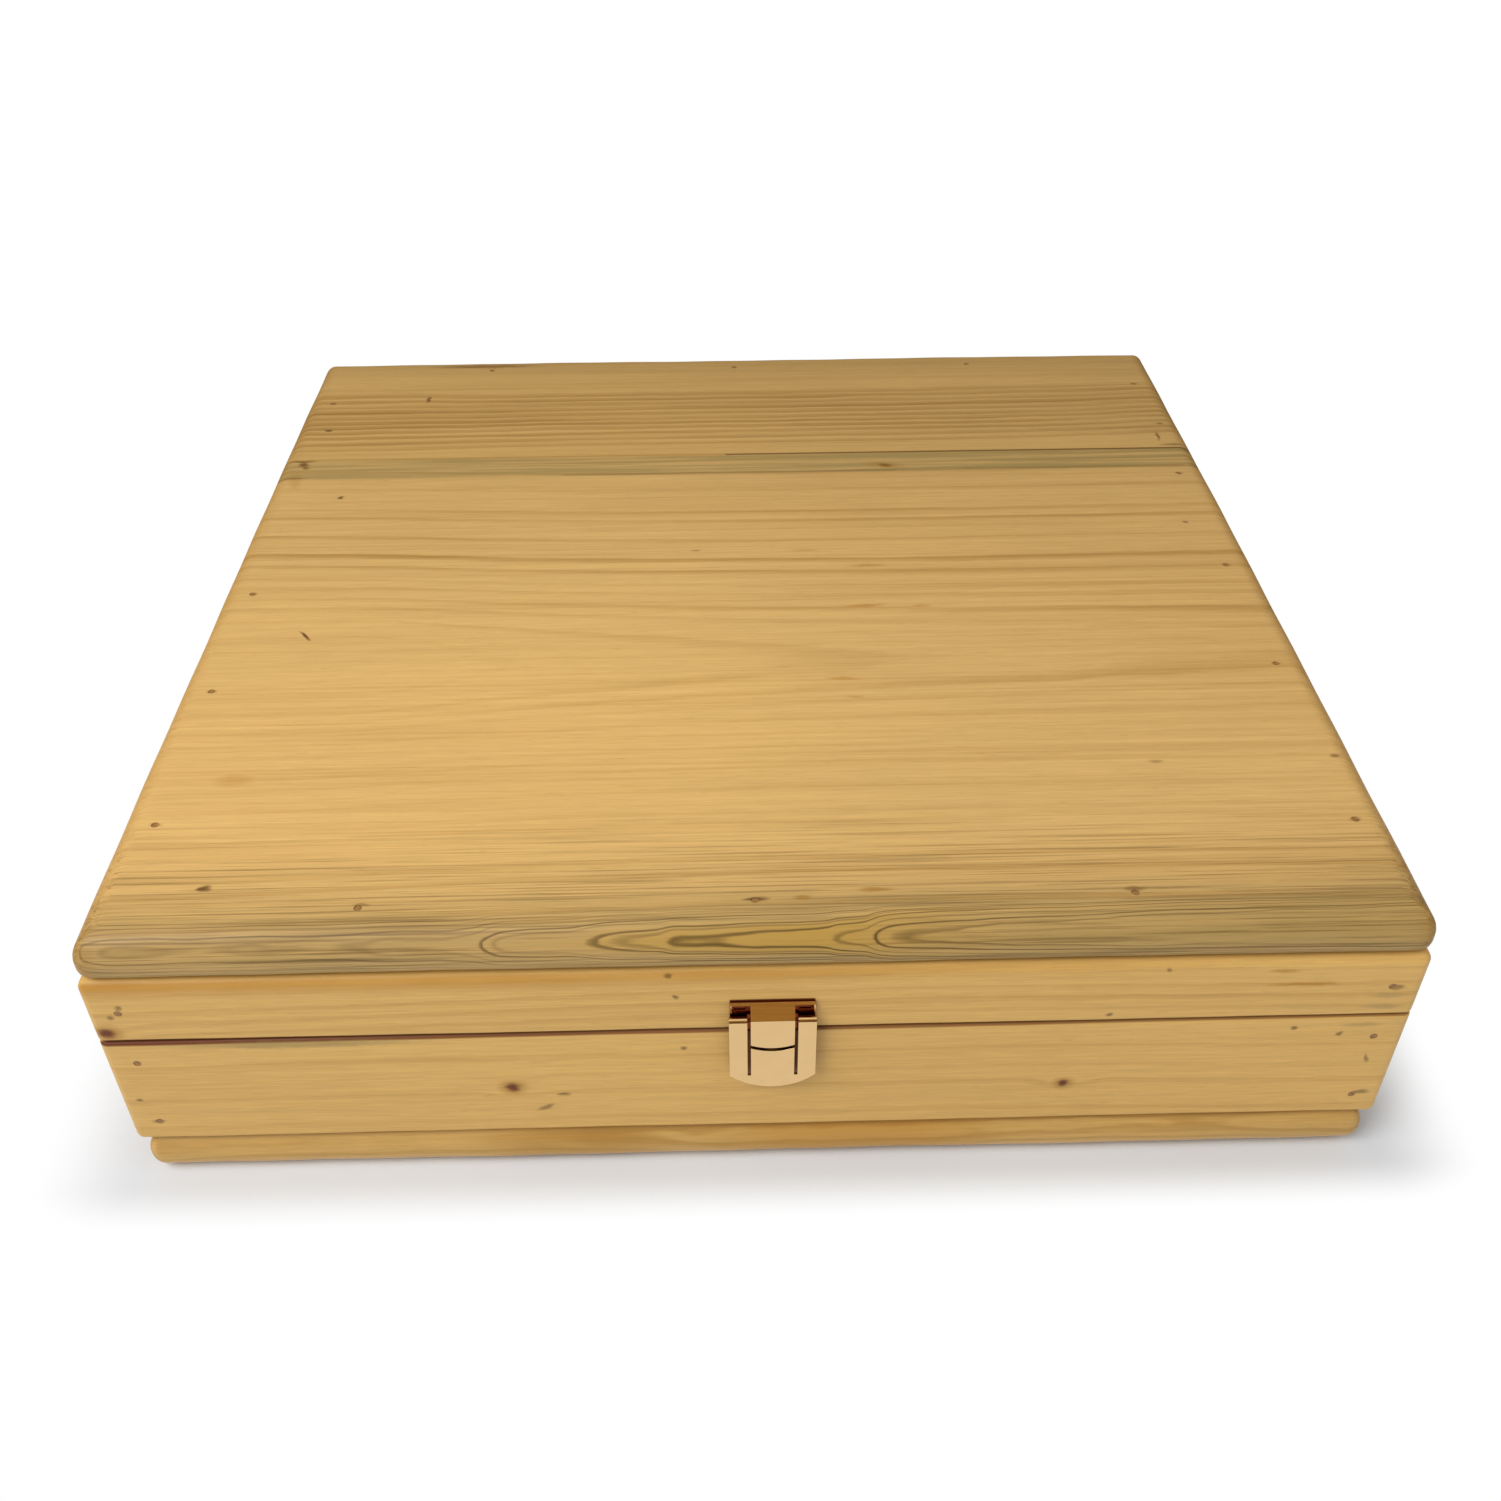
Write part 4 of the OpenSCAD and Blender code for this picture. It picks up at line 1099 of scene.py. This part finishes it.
class TOOLBOX_OT_hinges(bpy.types.Operator):
    """Dresses the hinges' leaves and pins"""

    bl_idname = "toolbox.hinges"
    bl_label = "Hinges"

    def execute(self, context):
        metal = context.scene.metal_finish
        brass = plated_metal("rolled_sheet_brass", metal.brass, *SHEET_POLISH)
        for side in ("left", "right"):
            for body in ("base", "lid"):
                folded_copy(f"{side}_hinge_{body}_leaf", brass, body, "hinge_brass", metal.fold)
            repaint(f"{side}_hinge_pin", brass)
        return {"FINISHED"}


class TOOLBOX_OT_fasteners(bpy.types.Operator):
    """Dresses the brads and the screws"""

    bl_idname = "toolbox.fasteners"
    bl_label = "Brads and screws"

    def execute(self, context):
        metal = context.scene.metal_finish
        steel = aged_steel("browned_steel_wire", metal.steel)
        brass = plated_metal("turned_screw_brass", metal.brass, *SCREW_POLISH)
        for node in ("base_corner_brads", "bottom_brads", "lid_corner_brads", "lid_top_brads"):
            repaint(node, steel)
        for node in ("hinge_base_screws", "hinge_lid_screws", "catch_screws"):
            repaint(node, brass)
        return {"FINISHED"}


def lamp(name, place, width, power):
    """Soft square lamp that looks at the box."""
    light = bpy.data.lights.new(name, "AREA")
    light.shape, light.size, light.size_y, light.energy = "RECTANGLE", width, width, power
    thing = bpy.data.objects.new(name, light)
    thing.location = place
    thing.rotation_euler = (Vector(LAMP_AIM) - Vector(place)).to_track_quat("-Z", "Y").to_euler()
    bpy.context.scene.collection.objects.link(thing)


def sheet(points):
    """Grid of points as a surface of quads, counted column by column."""
    number = np.arange(points.shape[0] * points.shape[1]).reshape(points.shape[:2])
    return points.reshape(-1, 3), grid_quads(number.T).tolist()


def mottled(nodes, colour):
    """Even colour of matt card with a faint mottle."""
    mottle = nodes.add("TexNoise", {"Vector": nodes.place(1.0), "Scale": 3.0, "Detail": 2.0})
    tone = nodes.add("MapRange", [mottle, 0.3, 0.7, 0.99, 1.01])
    return nodes.add("VectorMath:SCALE", {"Vector": tuple(colour), "Scale": tone})


def shaded_card(name, light, dark):
    """Matt brown card that the metal mirrors as a room: a dark foot, a light belt that the bill's slope
    mirrors, a dark belt for the lever's barrels, and a light head."""
    material = bpy.data.materials.new(name)
    nodes = Nodes(material)
    height = nodes.add("SeparateXYZ", [nodes.place(1.0)])
    shade = nodes.lay(mottled(nodes, light), dark, nodes.course(height.outputs["Z"], CARD_SHADE))
    shader = nodes.add("BsdfPrincipled", {"Base Color": shade, "Roughness": 0.9, "Specular IOR Level": 0.1})
    nodes.add("OutputMaterial", [shader])
    return material


def seamless_paper(name, colour, halo, box):
    """Seamless white paper: near the box the eye sees its soft shadow on it, with a painted grey shadow, the
    halo, that only camera and mirror rays see, and farther off plain white. Box is half the box's size. The
    distance to its outline decides, with distances to its sides counted for less."""
    material = bpy.data.materials.new(name)
    nodes = Nodes(material)
    seen = nodes.seen_rays()
    # Painted shadow: rays that see the paper get the darker halo colour near the box
    shade = nodes.lay(mottled(nodes, colour), halo, seen)
    matt = nodes.add("BsdfPrincipled", {"Base Color": shade, "Roughness": 0.95, "Specular IOR Level": 0.1})
    away = nodes.add("VectorMath:ABSOLUTE", [nodes.place(1.0)])
    away = nodes.add("VectorMath:SUBTRACT", [away, (*box, 0.0)])
    away = nodes.add("VectorMath:MAXIMUM", [away, (0.0, 0.0, 0.0)])
    away = nodes.add("VectorMath:MULTIPLY", [away, HALO_SQUASH])
    away = nodes.add("VectorMath:LENGTH", [away])
    share = nodes.add("Math:MULTIPLY", [nodes.add("MapRange:SMOOTHSTEP", [away, 0.0, HALO_WIDTH]), seen])
    white = nodes.add("Emission", [(1.0, 1.0, 1.0, 1.0), 1.0])
    nodes.add("OutputMaterial", [nodes.add("MixShader", [share, matt, white])])
    return material


def studio_air(sky):
    """World that lights the box from all round and is plain white where the studio itself is seen."""
    world = bpy.data.worlds.new("studio_air")
    nodes = Nodes(world)
    strength = nodes.add("MapRange", [nodes.seen_rays(), 0.0, 1.0, sky, 1.0])
    nodes.add("OutputWorld", [nodes.add("Background", {"Color": (1, 1, 1, 1), "Strength": strength})])
    return world


def camera_turn(turn, dip, lean):
    """Camera's matrix from its turn to the right, its dip and its roll: forward is turned and dipped, and
    right and up are leaned round it."""
    forward = Vector((math.sin(turn) * math.cos(dip), math.cos(turn) * math.cos(dip), -math.sin(dip)))
    right = Vector((math.cos(turn), -math.sin(turn), 0))
    up = right.cross(forward)
    leaned_right = math.cos(lean) * right + math.sin(lean) * up
    leaned_up = math.cos(lean) * up - math.sin(lean) * right
    return Matrix((leaned_right, leaned_up, -forward)).transposed()


class TOOLBOX_OT_studio(bpy.types.Operator):
    """Makes the floor, the lamps, the sky and the camera"""

    bl_idname = "toolbox.studio"
    bl_label = "Studio"

    def execute(self, context):
        view = context.scene.studio_view
        span = np.linspace(-FLOOR_REACH, FLOOR_REACH, FLOOR_LINES)
        x, y = np.meshgrid(span, span)
        floor = new_object("paper_floor", *sheet(np.stack([x, y, 0 * x], axis=-1)))
        floor.data.materials.append(seamless_paper("seamless_paper", view.paper, view.halo, CAD_BOX[1][:2]))

        turn, z = np.meshgrid(np.linspace(0, 2 * math.pi, CARD_LINES), CARD_HEIGHTS)
        reach = np.array(CARD_REACHES)[:, None]
        ring = np.stack([reach * np.sin(turn), reach * np.cos(turn), z], axis=-1)
        card = new_object("brown_card", *sheet(ring))
        card.data.materials.append(shaded_card("brown_card", view.card, view.high_card))
        card.visible_camera = card.visible_diffuse = card.visible_shadow = False

        lamp("key", KEY_PLACE, KEY_WIDTH, view.key)
        lamp("fill", FILL_PLACE, FILL_WIDTH, view.fill)
        context.scene.world = studio_air(view.sky)
        context.scene.view_settings.view_transform = "Standard"

        camera = bpy.data.objects.new("camera", bpy.data.cameras.new("camera"))
        camera.data.sensor_width, camera.data.lens = SENSOR, view.lens
        camera.data.clip_start, camera.data.clip_end = CLIP
        turned = camera_turn(view.turn, view.dip, view.lean)
        camera.matrix_world = Matrix.Translation(view.place) @ turned.to_4x4()
        context.scene.collection.objects.link(camera)
        context.scene.camera = camera
        return {"FINISHED"}


class TOOLBOX_PT_panel(bpy.types.Panel):
    """Lists the pieces and their sizes and colours"""

    bl_label = "Tool Box"
    bl_idname = "TOOLBOX_PT_panel"
    bl_space_type = "VIEW_3D"
    bl_region_type = "UI"
    bl_category = "Tool Box"

    def draw(self, context):
        for operator in OPERATORS:
            self.layout.operator(operator.bl_idname)
        for name in GROUPS:
            group = getattr(context.scene, name)
            self.layout.label(text=name.replace("_", " ").capitalize())
            for key in group.bl_rna.properties.keys():
                if key not in ("rna_type", "name"):
                    self.layout.prop(group, key)


GROUPS = {
    "board_shape": BoardShape, "pine_finish": PineFinish,
    "metal_finish": MetalFinish, "studio_view": StudioView}
OPERATORS = (
    TOOLBOX_OT_top_planks, TOOLBOX_OT_bottom_planks, TOOLBOX_OT_lid_boards, TOOLBOX_OT_base_boards,
    TOOLBOX_OT_latch, TOOLBOX_OT_hinges, TOOLBOX_OT_fasteners, TOOLBOX_OT_studio)


def register():
    """Registers the classes and hangs the groups on the scene."""
    for one in (*GROUPS.values(), *OPERATORS, TOOLBOX_PT_panel):
        bpy.utils.register_class(one)
    for name, group in GROUPS.items():
        setattr(bpy.types.Scene, name, bpy.props.PointerProperty(type=group))


def unregister():
    """Takes away what register adds."""
    for name in GROUPS:
        delattr(bpy.types.Scene, name)
    for one in reversed((*GROUPS.values(), *OPERATORS, TOOLBOX_PT_panel)):
        bpy.utils.unregister_class(one)


def main():
    """Makes every piece in order."""
    register()
    for operator in OPERATORS:
        getattr(bpy.ops.toolbox, operator.bl_idname.split(".")[1])()


if __name__ == "__main__":
    main()
